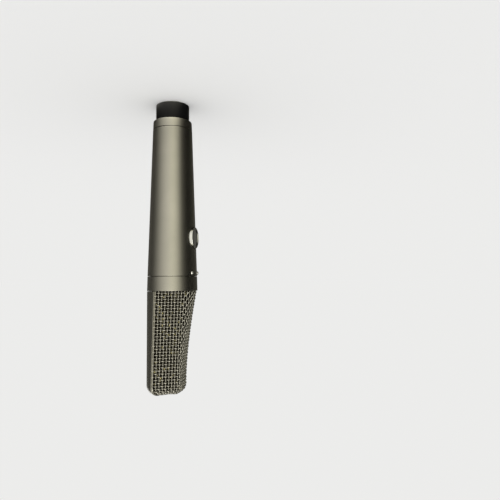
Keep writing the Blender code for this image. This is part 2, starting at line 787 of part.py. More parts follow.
def make_motor(head):
    """The motor stands on a soft pad on the head bulkhead and is held from below by two screws."""
    half = 11.0 * MM
    front, back = -3.0 * MM, 6.8 * MM
    plate = back - 1.5 * MM
    foot_top = MOTOR_BOTTOM + 1.5 * MM
    low, high = (-half, front, HEAD_BULKHEAD_TOP + GAP), (half, back, MOTOR_BOTTOM - GAP)
    pad = block("isolation_pad", low, high, RUBBER)

    # The frame's outline is its side view: a foot and an upright plate.
    outline = [
        (front, MOTOR_BOTTOM),
        (back, MOTOR_BOTTOM),
        (back, MOTOR_TOP),
        (plate, MOTOR_TOP),
        (plate, foot_top),
        (front, foot_top),
    ]
    frame = add_part("motor_frame", outline_mesh("motor_frame", outline, 2 * half), STEEL)
    frame.rotation_euler = (0.0, 0.0, math.pi / 2)
    window = block_mesh("motor_window", (-3.5 * MM, 0, 166 * MM), (3.5 * MM, 12 * MM, 222 * MM))
    cut(frame, add_cutter("motor_window", window))
    for number, x in ((1, -3.0 * MM), (2, 3.0 * MM)):
        y = RIBBON_Y
        hole = drill(f"motor_hole_{number}", 1.1 * MM, (x, y, 151 * MM), (x, y, foot_top + MM), 16)
        cut(head, hole)
        cut(pad, hole)
        cut(frame, hole)
        place = (x, y, HEAD_BULKHEAD_BOTTOM - GAP)
        head_size = (1.4 * MM, 1.1 * MM)
        machine_screw(f"motor_screw_{number}", 0.8 * MM, 6.8 * MM, STEEL, *head_size, place, (0, 0, 1))

    pole_edge, magnet_edge, magnet_end = 2.4 * MM, 3.9 * MM, 8.2 * MM
    middle = (MAGNET_BOTTOM + MAGNET_TOP) / 2
    for side, name in ((-1, "left"), (1, "right")):
        near, far = sorted((side * pole_edge, side * (magnet_edge - GAP)))
        low, high = (near, -1.8 * MM, MAGNET_BOTTOM), (far, 4.2 * MM, MAGNET_TOP)
        block(f"pole_{name}", low, high, STEEL)
        near, far = sorted((side * magnet_edge, side * magnet_end))
        halves = {"lower": (MAGNET_BOTTOM, middle - GAP / 2), "upper": (middle + GAP / 2, MAGNET_TOP)}
        for level, (bottom, top) in halves.items():
            low, high = (near, -2.4 * MM, bottom), (far, plate - GAP, top)
            block(f"magnet_{name}_{level}", low, high, MAGNET, edge=0.25 * MM)


def make_clamps():
    """Each end of the ribbon is held between an insulating block and a brass bar with two screws."""
    half = 7.0 * MM
    grip = 0.4 * MM
    ends = {"lower": (159.4 * MM, MAGNET_BOTTOM - GAP), "upper": (MAGNET_TOP + GAP, MOTOR_TOP - 0.4 * MM)}
    number = 1
    for name, (bottom, top) in ends.items():
        low, high = (-half, RIBBON_Y + grip, bottom), (half, 5.0 * MM, top)
        base = block(f"clamp_block_{name}", low, high, INSULATOR)
        low, high = (-half, -0.8 * MM, bottom), (half, RIBBON_Y - grip, top)
        bar = block(f"clamp_bar_{name}", low, high, BRASS, edge=0.2 * MM)
        height = (bottom + top) / 2
        for x in (-4.6 * MM, 4.6 * MM):
            hole = drill(f"clamp_hole_{number}", 1.1 * MM, (x, -2 * MM, height), (x, 4.6 * MM, height), 16)
            cut(base, hole)
            cut(bar, hole)
            place = (x, -0.8 * MM - GAP, height)
            size = (1.4 * MM, 0.9 * MM)
            machine_screw(f"clamp_screw_{number}", 0.8 * MM, 5.2 * MM, STEEL, *size, place, (0, 1, 0))
            number += 1


def make_ribbon():
    """Corrugated foil, flat where it is clamped. Its parent is an empty on the line it swings along."""
    swing = bpy.data.objects.new("ribbon_swing", None)
    swing.location = (0.0, RIBBON_Y, (RIBBON_BOTTOM + RIBBON_TOP) / 2)
    PARTS.objects.link(swing)
    length = RIBBON_TOP - RIBBON_BOTTOM
    count = round(length / WAVE_PITCH * 4)
    fade = 6.0 * MM
    grid = []
    for height in spread(-length / 2, length / 2, count):
        from_end = length / 2 - abs(height)
        depth = WAVE_DEPTH * min(max((from_end - fade) / fade, 0.0), 1.0)
        y = depth * math.sin(2 * math.pi * height / WAVE_PITCH + 0.4)
        grid.append([Vector((x, y, height)) for x in (-RIBBON_HALF_WIDTH, RIBBON_HALF_WIDTH)])
    ribbon = skin("ribbon", grid, FOIL, RIBBON_THICKNESS, mirror=False)
    ribbon.modifiers["Wall"].offset = 0.0
    ribbon.parent = swing


# The wires


def make_leads(pins):
    """Ribbon to transformer, transformer to board, and board to connector pins."""
    bar_front = -1.6 * MM
    hub = 154.0 * MM
    ends = 74.2 * MM
    for number, side in ((1, -1), (2, 1)):
        down = [
            (side * 1.0 * MM, -8.0 * MM, hub),
            (side * 1.0 * MM, -7.6 * MM, 146 * MM),
            (side * 1.2 * MM, -6.5 * MM, 128 * MM),
            (side * 1.2 * MM, -5.0 * MM, 104 * MM),
            (side * 0.9 * MM, -1.2 * MM, 86 * MM),
            (side * 0.9 * MM, -0.8 * MM, 79 * MM),
            (side * 0.9 * MM, -0.8 * MM, ends),
        ]
        if side < 0:
            start = [(0.0, bar_front, 161.8 * MM), (-0.6 * MM, -4.6 * MM, 160.6 * MM)]
        else:
            start = [
                (0.0, bar_front, 226.4 * MM),
                (2.6 * MM, -4.0 * MM, 224.6 * MM),
                (5.2 * MM, -4.6 * MM, 214 * MM),
                (5.4 * MM, -4.6 * MM, 190 * MM),
                (4.6 * MM, -4.8 * MM, 168 * MM),
                (2.0 * MM, -7.0 * MM, 159.5 * MM),
            ]
        lead(f"ribbon_lead_{number}", start + down, RED if side > 0 else BLACK_LEAD)
        across = [
            (side * 0.9 * MM, 0.9 * MM, ends),
            (side * 0.9 * MM, 0.9 * MM, 80 * MM),
            (side * 2.4 * MM, 2.0 * MM, 88 * MM),
            (side * 3.0 * MM, RAIL_HALF_WIDTH - 0.4 * MM, 96 * MM),
        ]
        lead(f"transformer_lead_{number}", across, RED if side > 0 else BLACK_LEAD)

    colours = {1: BLACK_LEAD, 2: RED, 3: WHITE}
    for number, (x, y) in pins.items():
        start_x = {1: -5.0 * MM, 2: 5.0 * MM, 3: 0.0}[number]
        points = [
            (start_x, 6.8 * MM, 96 * MM),
            (start_x, 9.0 * MM, 88 * MM),
            (start_x, 11.2 * MM, 78 * MM),
            (start_x, 11.2 * MM, 56 * MM),
            (mix(start_x, x, 0.5), 8.0 * MM, 42 * MM),
            (x, mix(y, 2.0 * MM, 0.7), 31 * MM),
            (x, y, 26 * MM),
            (x, y, PIN_TOP + GAP),
        ]
        lead(f"output_lead_{number}", points, colours[number])


def main():
    make_base_collar()
    make_base_ring()
    shell = make_body_shell()
    make_badge()
    ring = make_head_ring()
    make_case_screws(shell, ring)
    make_head()
    pins = make_connector()
    base, head = make_bulkheads()
    rails = make_rails(base, head)
    make_transformer(rails)
    make_terminal_board(rails)
    make_motor(head)
    make_clamps()
    make_ribbon()
    make_leads(pins)


main()
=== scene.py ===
"""The looks of the ribbon microphone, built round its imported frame.

It stands on its connector end at z = 0, the front with the badge faces -y and the spine of the head
faces +y. Every size is in metres. A piece named NODE_fine stands for the frame's node of that name.
"""

import json
import math

import bmesh
import bpy
from mathutils import Matrix, Vector

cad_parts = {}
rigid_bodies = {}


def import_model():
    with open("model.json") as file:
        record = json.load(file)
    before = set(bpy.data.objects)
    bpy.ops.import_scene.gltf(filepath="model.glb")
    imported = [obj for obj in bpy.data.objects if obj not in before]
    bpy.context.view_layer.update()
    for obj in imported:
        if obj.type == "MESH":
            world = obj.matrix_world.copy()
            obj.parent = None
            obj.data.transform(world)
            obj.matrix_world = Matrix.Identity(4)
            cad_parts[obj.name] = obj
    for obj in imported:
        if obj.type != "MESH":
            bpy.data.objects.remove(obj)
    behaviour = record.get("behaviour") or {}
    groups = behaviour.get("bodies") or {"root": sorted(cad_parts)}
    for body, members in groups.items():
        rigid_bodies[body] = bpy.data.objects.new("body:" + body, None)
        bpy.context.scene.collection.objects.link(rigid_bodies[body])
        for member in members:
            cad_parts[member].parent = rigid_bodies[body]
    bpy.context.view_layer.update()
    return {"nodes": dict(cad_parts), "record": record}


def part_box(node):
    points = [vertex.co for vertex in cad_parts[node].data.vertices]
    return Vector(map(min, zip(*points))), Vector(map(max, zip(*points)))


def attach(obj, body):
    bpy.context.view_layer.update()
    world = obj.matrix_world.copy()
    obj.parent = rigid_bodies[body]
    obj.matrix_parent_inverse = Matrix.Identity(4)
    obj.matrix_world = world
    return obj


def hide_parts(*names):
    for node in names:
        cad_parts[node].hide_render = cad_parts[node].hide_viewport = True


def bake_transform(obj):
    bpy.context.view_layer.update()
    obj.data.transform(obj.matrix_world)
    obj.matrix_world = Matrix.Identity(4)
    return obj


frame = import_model()

MM = 0.001
GAP = 0.3 * MM
UP = Vector((0.0, 0.0, 1.0))
FRONT, BACK = 0.0, math.pi

# Walls and edges
SHELL_WALL = 2.4 * MM
EDGE = 0.35 * MM
RING_EDGE = 0.28 * MM
SEAT_CHAMFER = 0.25 * MM

# Head ring, with the spigot under it that goes into the tube
HEAD_RING_BORE = 18.0 * MM
HEAD_SPIGOT_OUTER = 17.15 * MM
HEAD_SPIGOT_INNER = 14.6 * MM

# Case screws: the dome head, its cross recess, the shank, and the seat in the tube
SCREW_HEAD = 1.5 * MM
SCREW_DOME = 1.25 * MM
SCREW_SHANK = 0.8 * MM
SCREW_LENGTH = 4.4 * MM
RECESS_HALF_LENGTH = 0.75 * MM
RECESS_HALF_WIDTH = 0.16 * MM
SCREW_SEAT = 1.8 * MM
SCREW_SEAT_DEPTH = 0.35 * MM
SCREW_HOLE = 1.1 * MM
SCREW_HOLE_START = 12 * MM

# Badge
BADGE_RIM_HEIGHT = 0.65 * MM
BADGE_RIM_WIDTH = 0.75 * MM
BADGE_INNER_RING = 5.9 * MM

# Head
NOSE_BASE = 20.2 * MM
NOSE_TIP = 10.2 * MM
NOSE_SLOPE_END = 0.85
NOSE_SLOPE_POWER = 1.6
WALL_FACING = (75.0, 66.0)
SPINE_EDGE = (115.0, 125.0)
CORNER_TIP = 2.8 * MM
HEAD_ROLL = 7.5 * MM
CROWN = 0.6 * MM
HUB = Vector((0.0, 2.5 * MM, 0.0))
FRAME_WALL = 2.0 * MM
WINDOW_HALF_WIDTH = 6.5 * MM
WINDOW_BOTTOM = 163.0 * MM
WINDOW_TOP = 224.0 * MM
WINDOW_CORNER = 3.0 * MM

# Meshes. FIRST_ROW and OVERHANG are in pitches, and the levels are those of head_point.
WIRE_RADIUS = 0.48 * MM
WIRE_PITCH = 2.45 * MM
WEAVE_INSET = 2 * WIRE_RADIUS
COLUMNS_PER_SIDE = 14
EDGE_WIRE = 0.5 * MM
FIRST_ROW = 0.55
OVERHANG = 0.35
SPINE_LIP_LEVEL = 2.08
TOP_WEAVE_LEVEL = 2.11
REAR_HALF_ANGLE = 23.0
REAR_COLUMNS_PER_SIDE = 5
SCREEN_INSET = 2.3 * MM
SCREEN_WALL = 0.3 * MM
SCREEN_PITCH = 0.5 * MM

# Camera and light. Azimuths are about the z axis, from -y towards +x.
CAMERA_AZIMUTH = 70.0
CAMERA_DISTANCE = 0.418
CAMERA_HEIGHT = 0.150
CAMERA_TURN = 8.83
CAMERA_TILT = 3.89
CAMERA_ROLL = 179.5
CAMERA_LENS = 36.0
PALE = (0.84, 0.84, 0.83)
FLOOR_HALF = 30.0

# What metal mirrors: brightness by azimuth, a soft light on one side that fades out to both ends,
# and a dim one on the other side. It grows by the lift towards straight up and falls by the dip
# towards straight down, where there is a small bright patch. The front half is tinted warm, and the
# rest a little cooler.
TONES = (
    (-180, 0.05), (-150, 0.11), (-120, 0.13), (-90, 0.12), (-60, 0.07), (-25, 0.02), (0, 0.0),
    (25, 0.08), (50, 0.95), (70, 1.3), (95, 1.05), (120, 0.74), (145, 0.33), (162, 0.12), (180, 0.05),
)
LIFT = 0.3
DIP = 0.4
GLOW_BELOW = 4.0
SPREAD_POWER = 4.0
GLOW_POWER = 40.0
WARM = (1.0, 0.975, 0.81)
COOLER = (1.0, 0.975, 0.87)


def mix(a, b, share):
    return a + (b - a) * share


def spread(start, end, count):
    return [mix(start, end, step / count) for step in range(count + 1)]


def front_direction(angle):
    """Unit vector at an angle from the front, -y, turning towards +x."""
    return Vector((math.sin(angle), -math.cos(angle), 0.0))


# Sizes read from the frame

shell_low, shell_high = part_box("body_shell")
ring_low, ring_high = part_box("head_ring")
collar_low, collar_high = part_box("base_collar")
base_ring_low, base_ring_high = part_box("base_ring")
badge_low, badge_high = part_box("badge")

HEAD_RADIUS = ring_high.x
HEAD_BOTTOM = ring_high.z + GAP
HEAD_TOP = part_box("head_frame")[1].z
SHELL_BOTTOM, SHELL_TOP = shell_low.z, shell_high.z
SHELL_HIGH_RADIUS = shell_high.x


def node_radii(node, height, reach=0.4 * MM):
    """Smallest and largest radius of a node's points within reach of a height."""
    points = [vert.co for vert in frame["nodes"][node].data.vertices]
    radii = [math.hypot(p.x, p.y) for p in points if abs(p.z - height) < reach]
    return min(radii), max(radii)


SHELL_LOW_RADIUS = node_radii("body_shell", SHELL_BOTTOM)[1]


def shell_radius(height):
    share = (height - SHELL_BOTTOM) / (SHELL_TOP - SHELL_BOTTOM)
    return mix(SHELL_LOW_RADIUS, SHELL_HIGH_RADIUS, share)


# Materials

FINISHES = {}


def put(tree, value, socket):
    """Link a socket to another one, or set it to a number or a colour."""
    if isinstance(value, bpy.types.NodeSocket):
        tree.links.new(value, socket)
    else:
        socket.default_value = (*value, 1.0) if isinstance(value, tuple) else value


def math_node(tree, operation, *values):
    node = tree.nodes.new("ShaderNodeMath")
    node.operation = operation
    for socket, value in zip(node.inputs, values):
        put(tree, value, socket)
    return node.outputs["Value"]


def mix_node(tree, share, first, second):
    """A colour from first, at share 0, to second, at share 1. Each is a colour or a socket."""
    node = tree.nodes.new("ShaderNodeMix")
    node.data_type = "RGBA"
    put(tree, share, node.inputs["Factor"])
    for socket, colour in zip([s for s in node.inputs if s.type == "RGBA"], (first, second)):
        put(tree, colour, socket)
    return next(socket for socket in node.outputs if socket.type == "RGBA")


class Finish:
    """A procedural Principled material. What is the same all over is set on the shader's sockets."""

    def __init__(self, name, **sockets):
        self.material = bpy.data.materials.new(name)
        self.material.use_nodes = True
        self.tree = self.material.node_tree
        self.nodes, self.links = self.tree.nodes, self.tree.links
        self.shader = self.nodes["Principled BSDF"]
        for socket, value in sockets.items():
            self.shader.inputs[socket.replace("_", " ")].default_value = value
        self.object_place = self.nodes.new("ShaderNodeTexCoord").outputs["Object"]
        FINISHES[name] = self.material

    def noise(self, size, detail=3.0, stretch=(1.0, 1.0, 1.0)):
        """Soft random values, in spots about size across, pulled out where stretch is over 1."""
        mapping = self.nodes.new("ShaderNodeMapping")
        mapping.inputs["Scale"].default_value = [1.0 / length for length in stretch]
        self.links.new(self.object_place, mapping.inputs["Vector"])
        noise = self.nodes.new("ShaderNodeTexNoise")
        noise.inputs["Scale"].default_value = 1.0 / size
        noise.inputs["Detail"].default_value = detail
        self.links.new(mapping.outputs["Vector"], noise.inputs["Vector"])
        return noise.outputs["Fac"]

    def wave(self, value, pitch):
        """A sine wave of a value: one turn for each pitch."""
        turns = math_node(self.tree, "MULTIPLY", value, 2 * math.pi / pitch)
        return math_node(self.tree, "SINE", turns)

    def rescale(self, value, low, high, start=0.3, end=0.7):
        """value, where start becomes low and end becomes high."""
        node = self.nodes.new("ShaderNodeMapRange")
        numbers = {"From Min": start, "From Max": end, "To Min": low, "To Max": high}
        for socket, number in numbers.items():
            node.inputs[socket].default_value = number
        self.links.new(value, node.inputs["Value"])
        return node.outputs["Result"]

    def between(self, share, first, second):
        return mix_node(self.tree, share, first, second)

    def edges(self):
        """1 on the outward edges of a dense mesh, 0 elsewhere."""
        geometry = self.nodes.new("ShaderNodeNewGeometry")
        return self.rescale(geometry.outputs["Pointiness"], 0.0, 1.0, start=0.53, end=0.57)

    def threads(self, pitch):
        """Two sets of threads, from the mesh's flat coordinates in metres: 1 on a thread."""
        uv = self.nodes.new("ShaderNodeUVMap")
        split = self.nodes.new("ShaderNodeSeparateXYZ")
        self.links.new(uv.outputs["UV"], split.inputs["Vector"])
        waves = [self.wave(split.outputs[axis], pitch) for axis in "XY"]
        return math_node(self.tree, "MAXIMUM", *waves)

    def colour(self, source):
        self.links.new(source, self.shader.inputs["Base Color"])

    def roughness(self, source):
        self.links.new(source, self.shader.inputs["Roughness"])

    def bump(self, source, depth):
        node = self.nodes.new("ShaderNodeBump")
        node.inputs["Distance"].default_value = depth
        self.links.new(source, node.inputs["Height"])
        self.links.new(node.outputs["Normal"], self.shader.inputs["Normal"])


def satin_gunmetal():
    """Blasted and coated metal: a fine grain, a faint cloudiness and paler edges."""
    finish = Finish("satin_gunmetal", Metallic=1.0)
    grain = finish.noise(0.2 * MM, detail=2.0)
    cloud = finish.noise(16 * MM)
    tone = finish.between(finish.rescale(cloud, 0.0, 1.0), (0.40, 0.388, 0.345), (0.44, 0.425, 0.38))
    finish.colour(finish.between(finish.edges(), tone, (0.68, 0.66, 0.59)))
    finish.roughness(finish.rescale(grain, 0.31, 0.38))
    finish.bump(grain, 0.006 * MM)


def satin_black():
    finish = Finish("satin_black", Specular_IOR_Level=0.12)
    grain = finish.noise(0.25 * MM, detail=2.0)
    cloud = finish.noise(6 * MM)
    tone = finish.between(cloud, (0.003, 0.003, 0.0032), (0.006, 0.006, 0.0063))
    finish.colour(tone)
    finish.roughness(finish.rescale(grain, 0.32, 0.42))
    finish.bump(grain, 0.006 * MM)


def woven_wire():
    """Coated steel wire, drawn along its length, a little darker in places."""
    finish = Finish("woven_wire", Metallic=1.0)
    cloud = finish.noise(4 * MM)
    grain = finish.noise(0.15 * MM, detail=2.0)
    cloud = finish.rescale(cloud, 0.0, 1.0)
    finish.colour(finish.between(cloud, (0.34, 0.332, 0.30), (0.48, 0.465, 0.42)))
    finish.roughness(finish.rescale(grain, 0.26, 0.36))
    finish.bump(grain, 0.004 * MM)


def brass_screen():
    """Fine mesh: dark tarnished threads with a few bright brass spots. The holes between them are
    painted near-black, as painted shade of the dark inside of the head.
    """
    finish = Finish("brass_screen", Metallic=0.8)
    thread = finish.rescale(finish.threads(SCREEN_PITCH), 0.0, 1.0, start=0.2, end=0.6)
    spots = finish.rescale(finish.noise(2.2 * MM, detail=1.0), 0.0, 1.0, start=0.62, end=0.7)
    brass = finish.between(spots, (0.02, 0.016, 0.009), (0.92, 0.82, 0.42))
    # The holes are painted near-black: painted shade of the inside of the head, seen through them.
    finish.colour(finish.between(thread, (0.003, 0.003, 0.003), brass))
    finish.roughness(finish.rescale(thread, 0.8, 0.35, start=0.0, end=1.0))
    finish.bump(thread, 0.05 * MM)


def chrome():
    finish = Finish("chrome", Metallic=1.0)
    haze = finish.noise(3 * MM)
    finish.colour(finish.between(haze, (0.72, 0.72, 0.70), (0.84, 0.84, 0.82)))
    finish.roughness(finish.rescale(finish.noise(0.6 * MM), 0.10, 0.18))
    finish.bump(haze, 0.004 * MM)


def polished_steel():
    """Brighter and softer than the chrome, so that a small dome catches a whole highlight."""
    finish = Finish("polished_steel", Metallic=1.0)
    haze = finish.noise(1 * MM)
    finish.colour(finish.between(haze, (0.88, 0.88, 0.86), (0.96, 0.96, 0.94)))
    finish.roughness(finish.rescale(finish.noise(0.3 * MM), 0.28, 0.34))
    finish.bump(haze, 0.002 * MM)


def plain_metal(name, dark, light, roughness, lay=(1.0, 1.0, 1.0)):
    """Bare metal with fine tool marks. lay stretches the marks along one axis."""
    finish = Finish(name, Metallic=1.0)
    marks = finish.noise(0.12 * MM, detail=2.0, stretch=lay)
    finish.colour(finish.between(finish.rescale(finish.noise(5 * MM), 0.0, 1.0), dark, light))
    finish.roughness(finish.rescale(marks, roughness, roughness + 0.14))
    finish.bump(marks, 0.004 * MM)


def moulded(name, dark, light, roughness, grain=0.3 * MM, depth=0.01 * MM):
    """A non-metal with a fine pebbled skin."""
    finish = Finish(name)
    pebble = finish.noise(grain, detail=2.0)
    finish.colour(finish.between(finish.rescale(finish.noise(4 * MM), 0.0, 1.0), dark, light))
    finish.roughness(finish.rescale(pebble, roughness - 0.06, roughness + 0.08))
    finish.bump(pebble, depth)


def copper():
    """Turns of enamelled wire, wound round the upright axis. Each turn is painted lighter on its top and
    darker where it meets the next: a painted highlight and painted shade.
    """
    finish = Finish("copper", Metallic=0.9)
    split = finish.nodes.new("ShaderNodeSeparateXYZ")
    finish.links.new(finish.object_place, split.inputs["Vector"])
    turns = finish.wave(split.outputs["Z"], 0.3 * MM)
    share = finish.rescale(turns, 0.0, 1.0, start=-1.0, end=1.0)
    # Painted highlight on the top of each turn and painted shade between turns, following the bumps.
    finish.colour(finish.between(share, (0.2, 0.06, 0.02), (0.6, 0.25, 0.1)))
    finish.roughness(finish.rescale(finish.noise(1 * MM), 0.25, 0.4))
    finish.bump(turns, 0.06 * MM)


def make_finishes():
    along_z, along_y = (1.0, 1.0, 12.0), (1.0, 12.0, 1.0)
    for make in (satin_gunmetal, satin_black, woven_wire, brass_screen, chrome, polished_steel, copper):
        make()
    plain_metal("gold_plate", (0.72, 0.50, 0.18), (0.86, 0.65, 0.30), 0.14)
    plain_metal("machined_aluminium", (0.50, 0.51, 0.52), (0.64, 0.65, 0.66), 0.28, along_z)
    plain_metal("steel", (0.36, 0.36, 0.37), (0.50, 0.50, 0.51), 0.26, along_z)
    plain_metal("magnet", (0.15, 0.15, 0.16), (0.24, 0.24, 0.25), 0.24)
    plain_metal("brass", (0.55, 0.40, 0.16), (0.76, 0.58, 0.28), 0.22, along_y)
    plain_metal("foil", (0.72, 0.73, 0.74), (0.86, 0.87, 0.88), 0.16)
    moulded("insulator", (0.018, 0.018, 0.02), (0.035, 0.035, 0.038), 0.5)
    moulded("circuit_board", (0.01, 0.11, 0.045), (0.02, 0.18, 0.08), 0.4, grain=1.0 * MM)
    moulded("soft_rubber", (0.014, 0.014, 0.014), (0.03, 0.03, 0.03), 0.8, depth=0.03 * MM)
    moulded("lead_black", (0.012, 0.012, 0.012), (0.03, 0.03, 0.03), 0.42)
    moulded("lead_red", (0.36, 0.02, 0.015), (0.50, 0.04, 0.03), 0.42)
    moulded("lead_white", (0.60, 0.60, 0.58), (0.74, 0.74, 0.72), 0.42)


def finish_frame():
    """Give every node of the frame the finish of its slot."""
    for row in frame["record"]["subparts"]:
        node = frame["nodes"][row["node"]]
        for slot in node.material_slots:
            slot.material = FINISHES[row["material_slot"]]


# Mesh tools


def link(name, mesh):
    obj = bpy.data.objects.new(name, mesh)
    bpy.context.scene.collection.objects.link(obj)
    return obj


def link_work(name, work):
    """An object with the mesh that was worked on."""
    mesh = bpy.data.meshes.new(name)
    work.to_mesh(mesh)
    work.free()
    return link(name, mesh)


def bake(obj):
    """Replace an object's mesh by the one that its modifiers make."""
    bpy.context.view_layer.update()
    graph = bpy.context.evaluated_depsgraph_get()
    mesh = bpy.data.meshes.new_from_object(obj.evaluated_get(graph), depsgraph=graph)
    obj.modifiers.clear()
    obj.data = mesh


def finished(obj, slot, node, body="case"):
    """Give a piece its finish, body and slot, and hide the node that it stands for."""
    obj.data.materials.clear()
    obj.data.materials.append(FINISHES[slot])
    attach(obj, body)
    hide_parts(node)


def rounded(corners, fillets, steps=5):
    """A closed outline of (radius, height) corners, each replaced by a small curve."""
    points = []
    for i, corner in enumerate(corners):
        here = Vector(corner)
        before, after = Vector(corners[i - 1]), Vector(corners[(i + 1) % len(corners)])
        size = fillets if isinstance(fillets, float) else fillets[i]
        size = min(size, (before - here).length * 0.45, (after - here).length * 0.45)
        if size < 0.001 * MM:
            points.append(here)
            continue
        start = here + (before - here).normalized() * size
        end = here + (after - here).normalized() * size
        for share in spread(0.0, 1.0, steps):
            points.append(start.lerp(here, share).lerp(here.lerp(end, share), share))
    return points


def turned(name, outline, steps=192, closed=True):
    """A turned mesh from an outline of (radius, height) points."""
    work = bmesh.new()
    verts = [work.verts.new((radius, 0.0, height)) for radius, height in outline]
    pairs = zip(verts, verts[1:] + verts[:1]) if closed else zip(verts, verts[1:])
    lines = [work.edges.new(pair) for pair in pairs]
    full = {"angle": 2 * math.pi, "steps": steps, "use_merge": True}
    bmesh.ops.spin(work, geom=verts + lines, cent=(0, 0, 0), axis=UP, **full)
    bmesh.ops.remove_doubles(work, verts=work.verts, dist=0.001 * MM)
    bmesh.ops.recalc_face_normals(work, faces=work.faces)
    obj = link_work(name, work)
    obj.data.shade_smooth()
    return obj


def even_normals(obj):
    """Let the large faces set the shading, so that the small curves at their edges stay small."""
    shade = obj.modifiers.new("Even normals", "WEIGHTED_NORMAL")
    shade.weight = 90
    shade.keep_sharp = True


def smooth_shading(mesh, degrees=32):
    """Smooth shading, but for the edges where two faces turn by more than an angle."""
    mesh.shade_smooth()
    mesh.set_sharp_from_angle(angle=math.radians(degrees))


def cut(obj, cutter):
    """Take a cutter's shape out of an object, and remove the cutter."""
    hole = obj.modifiers.new(cutter.name, "BOOLEAN")
    hole.operation = "DIFFERENCE"
    hole.solver = "EXACT"
    hole.object = cutter
    bake(obj)
    bpy.data.objects.remove(cutter)


def lofted(name, rows):
    """A closed tube of quads through rows of points, with a face at each end."""
    work = bmesh.new()
    grid = [[work.verts.new(point) for point in row] for row in rows]
    for low, high in zip(grid, grid[1:]):
        count = len(low)
        for i in range(count):
            work.faces.new((low[i], low[(i + 1) % count], high[(i + 1) % count], high[i]))
    work.faces.new(grid[0])
    work.faces.new(grid[-1])
    bmesh.ops.recalc_face_normals(work, faces=work.faces)
    return link_work(name, work)


def rod(name, radius, start, end, sides=32):
    along = Vector(end) - Vector(start)
    turn = along.to_track_quat("Z", "Y").to_matrix()
    angles = spread(0.0, 2 * math.pi, sides)[1:]
    ring = [turn @ Vector((radius * math.cos(a), radius * math.sin(a), 0.0)) for a in angles]
    return lofted(name, [[Vector(end_point) + point for point in ring] for end_point in (start, end)])


def seat_cutter(name, angle, height, outline, wall, floor):
    """A cutter that goes in from the side at an angle from the front.

    outline(grow) lists (across, up) points and wall(height) is the radius of the outside there. The
    cutter flares where it meets the outside, so the seat gets an even chamfer.
    """
    out = front_direction(angle)
    across = UP.cross(out)
    beyond = HEAD_RADIUS + 4 * MM

    def ring(grow, depth):
        points = []
        for x, z in outline(grow):
            level = height + z
            surface = math.sqrt(wall(level) ** 2 - x * x)
            reach = surface + depth if abs(depth) < MM else depth
            points.append(across * x + out * reach + UP * level)
        return points

    rows = [
        ring(0.0, floor),
        ring(0.0, -SEAT_CHAMFER),
        ring(2 * SEAT_CHAMFER, SEAT_CHAMFER),
        ring(2 * SEAT_CHAMFER, beyond),
    ]
    return lofted(name, rows)


def circle_outline(radius, sides=96):
    def outline(grow):
        angles = spread(0.0, 2 * math.pi, sides)[1:]
        return [((radius + grow) * math.cos(a), (radius + grow) * math.sin(a)) for a in angles]

    return outline


def slot_outline(half_width, half_height, corner, steps=12):
    """An upright slot with round corners."""

    def outline(grow):
        points = []
        for quarter, (sx, sz) in enumerate(((1, 1), (-1, 1), (-1, -1), (1, -1))):
            x, z = sx * (half_width - corner), sz * (half_height - corner)
            for step in range(steps + 1):
                angle = (quarter + step / steps) * math.pi / 2
                reach = corner + grow
                points.append((x + reach * math.cos(angle), z + reach * math.sin(angle)))
        return points

    return outline


def true_wall_normals(obj, wall):
    """After a cut, shade the outer wall as the smooth round surface that it is.

    wall(height) is the wall's radius. A point's normal leans by the wall's slope.
    """
    mesh = obj.data
    smooth_shading(mesh)
    slope = (wall(SHELL_TOP) - wall(SHELL_BOTTOM)) / (SHELL_TOP - SHELL_BOTTOM)
    normals = [Vector()] * len(mesh.loops)
    for face in mesh.polygons:
        out = Vector((face.center.x, face.center.y, 0.0))
        on_wall = abs(out.length - wall(face.center.z)) < 0.03 * MM
        if not on_wall or face.normal.dot(out.normalized()) < 0.998:
            continue
        for index in face.loop_indices:
            place = mesh.vertices[mesh.loops[index].vertex_index].co
            radial = Vector((place.x, place.y, 0.0)).normalized()
            normals[index] = (radial - UP * slope).normalized()
    mesh.normals_split_custom_set(normals)


# The case


def make_collar():
    rim = 0.6 * MM
    bore, outer = node_radii("base_collar", collar_low.z + rim)
    spigot = node_radii("base_collar", collar_high.z)[1]
    shoulder = base_ring_low.z - GAP
    corners = [
        (spigot, collar_high.z),
        (spigot, shoulder),
        (outer, shoulder),
        (outer, collar_low.z),
        (bore, collar_low.z),
        (bore, collar_high.z),
    ]
    fillets = [0.1 * MM, 0.1 * MM, 0.4 * MM, 0.9 * MM, 0.6 * MM, 0.1 * MM]
    collar = turned("base_collar_fine", rounded(corners, fillets))
    low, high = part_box("insert_set_screw")
    middle = (low + high) / 2
    radius = (high.x - low.x) / 2 + GAP
    hole = rod("set_screw_hole", radius, (0.0, bore - MM, middle.z), (0.0, outer, middle.z))
    cut(collar, hole)
    smooth_shading(collar.data)
    finished(collar, "satin_black", "base_collar")


def make_base_ring():
    bore = node_radii("base_ring", base_ring_low.z)[0]
    recess = node_radii("base_ring", base_ring_high.z)[0]
    low_radius, high_radius = node_radii("base_ring", base_ring_low.z)[1], base_ring_high.x
    step = collar_high.z
    corners = [
        (high_radius, base_ring_high.z),
        (low_radius, base_ring_low.z),
        (bore, base_ring_low.z),
        (bore, step),
        (recess, step),
        (recess, base_ring_high.z),
    ]
    ring = turned("base_ring_fine", rounded(corners, [RING_EDGE, EDGE, *[RING_EDGE] * 4]))
    even_normals(ring)
    finished(ring, "satin_gunmetal", "base_ring")


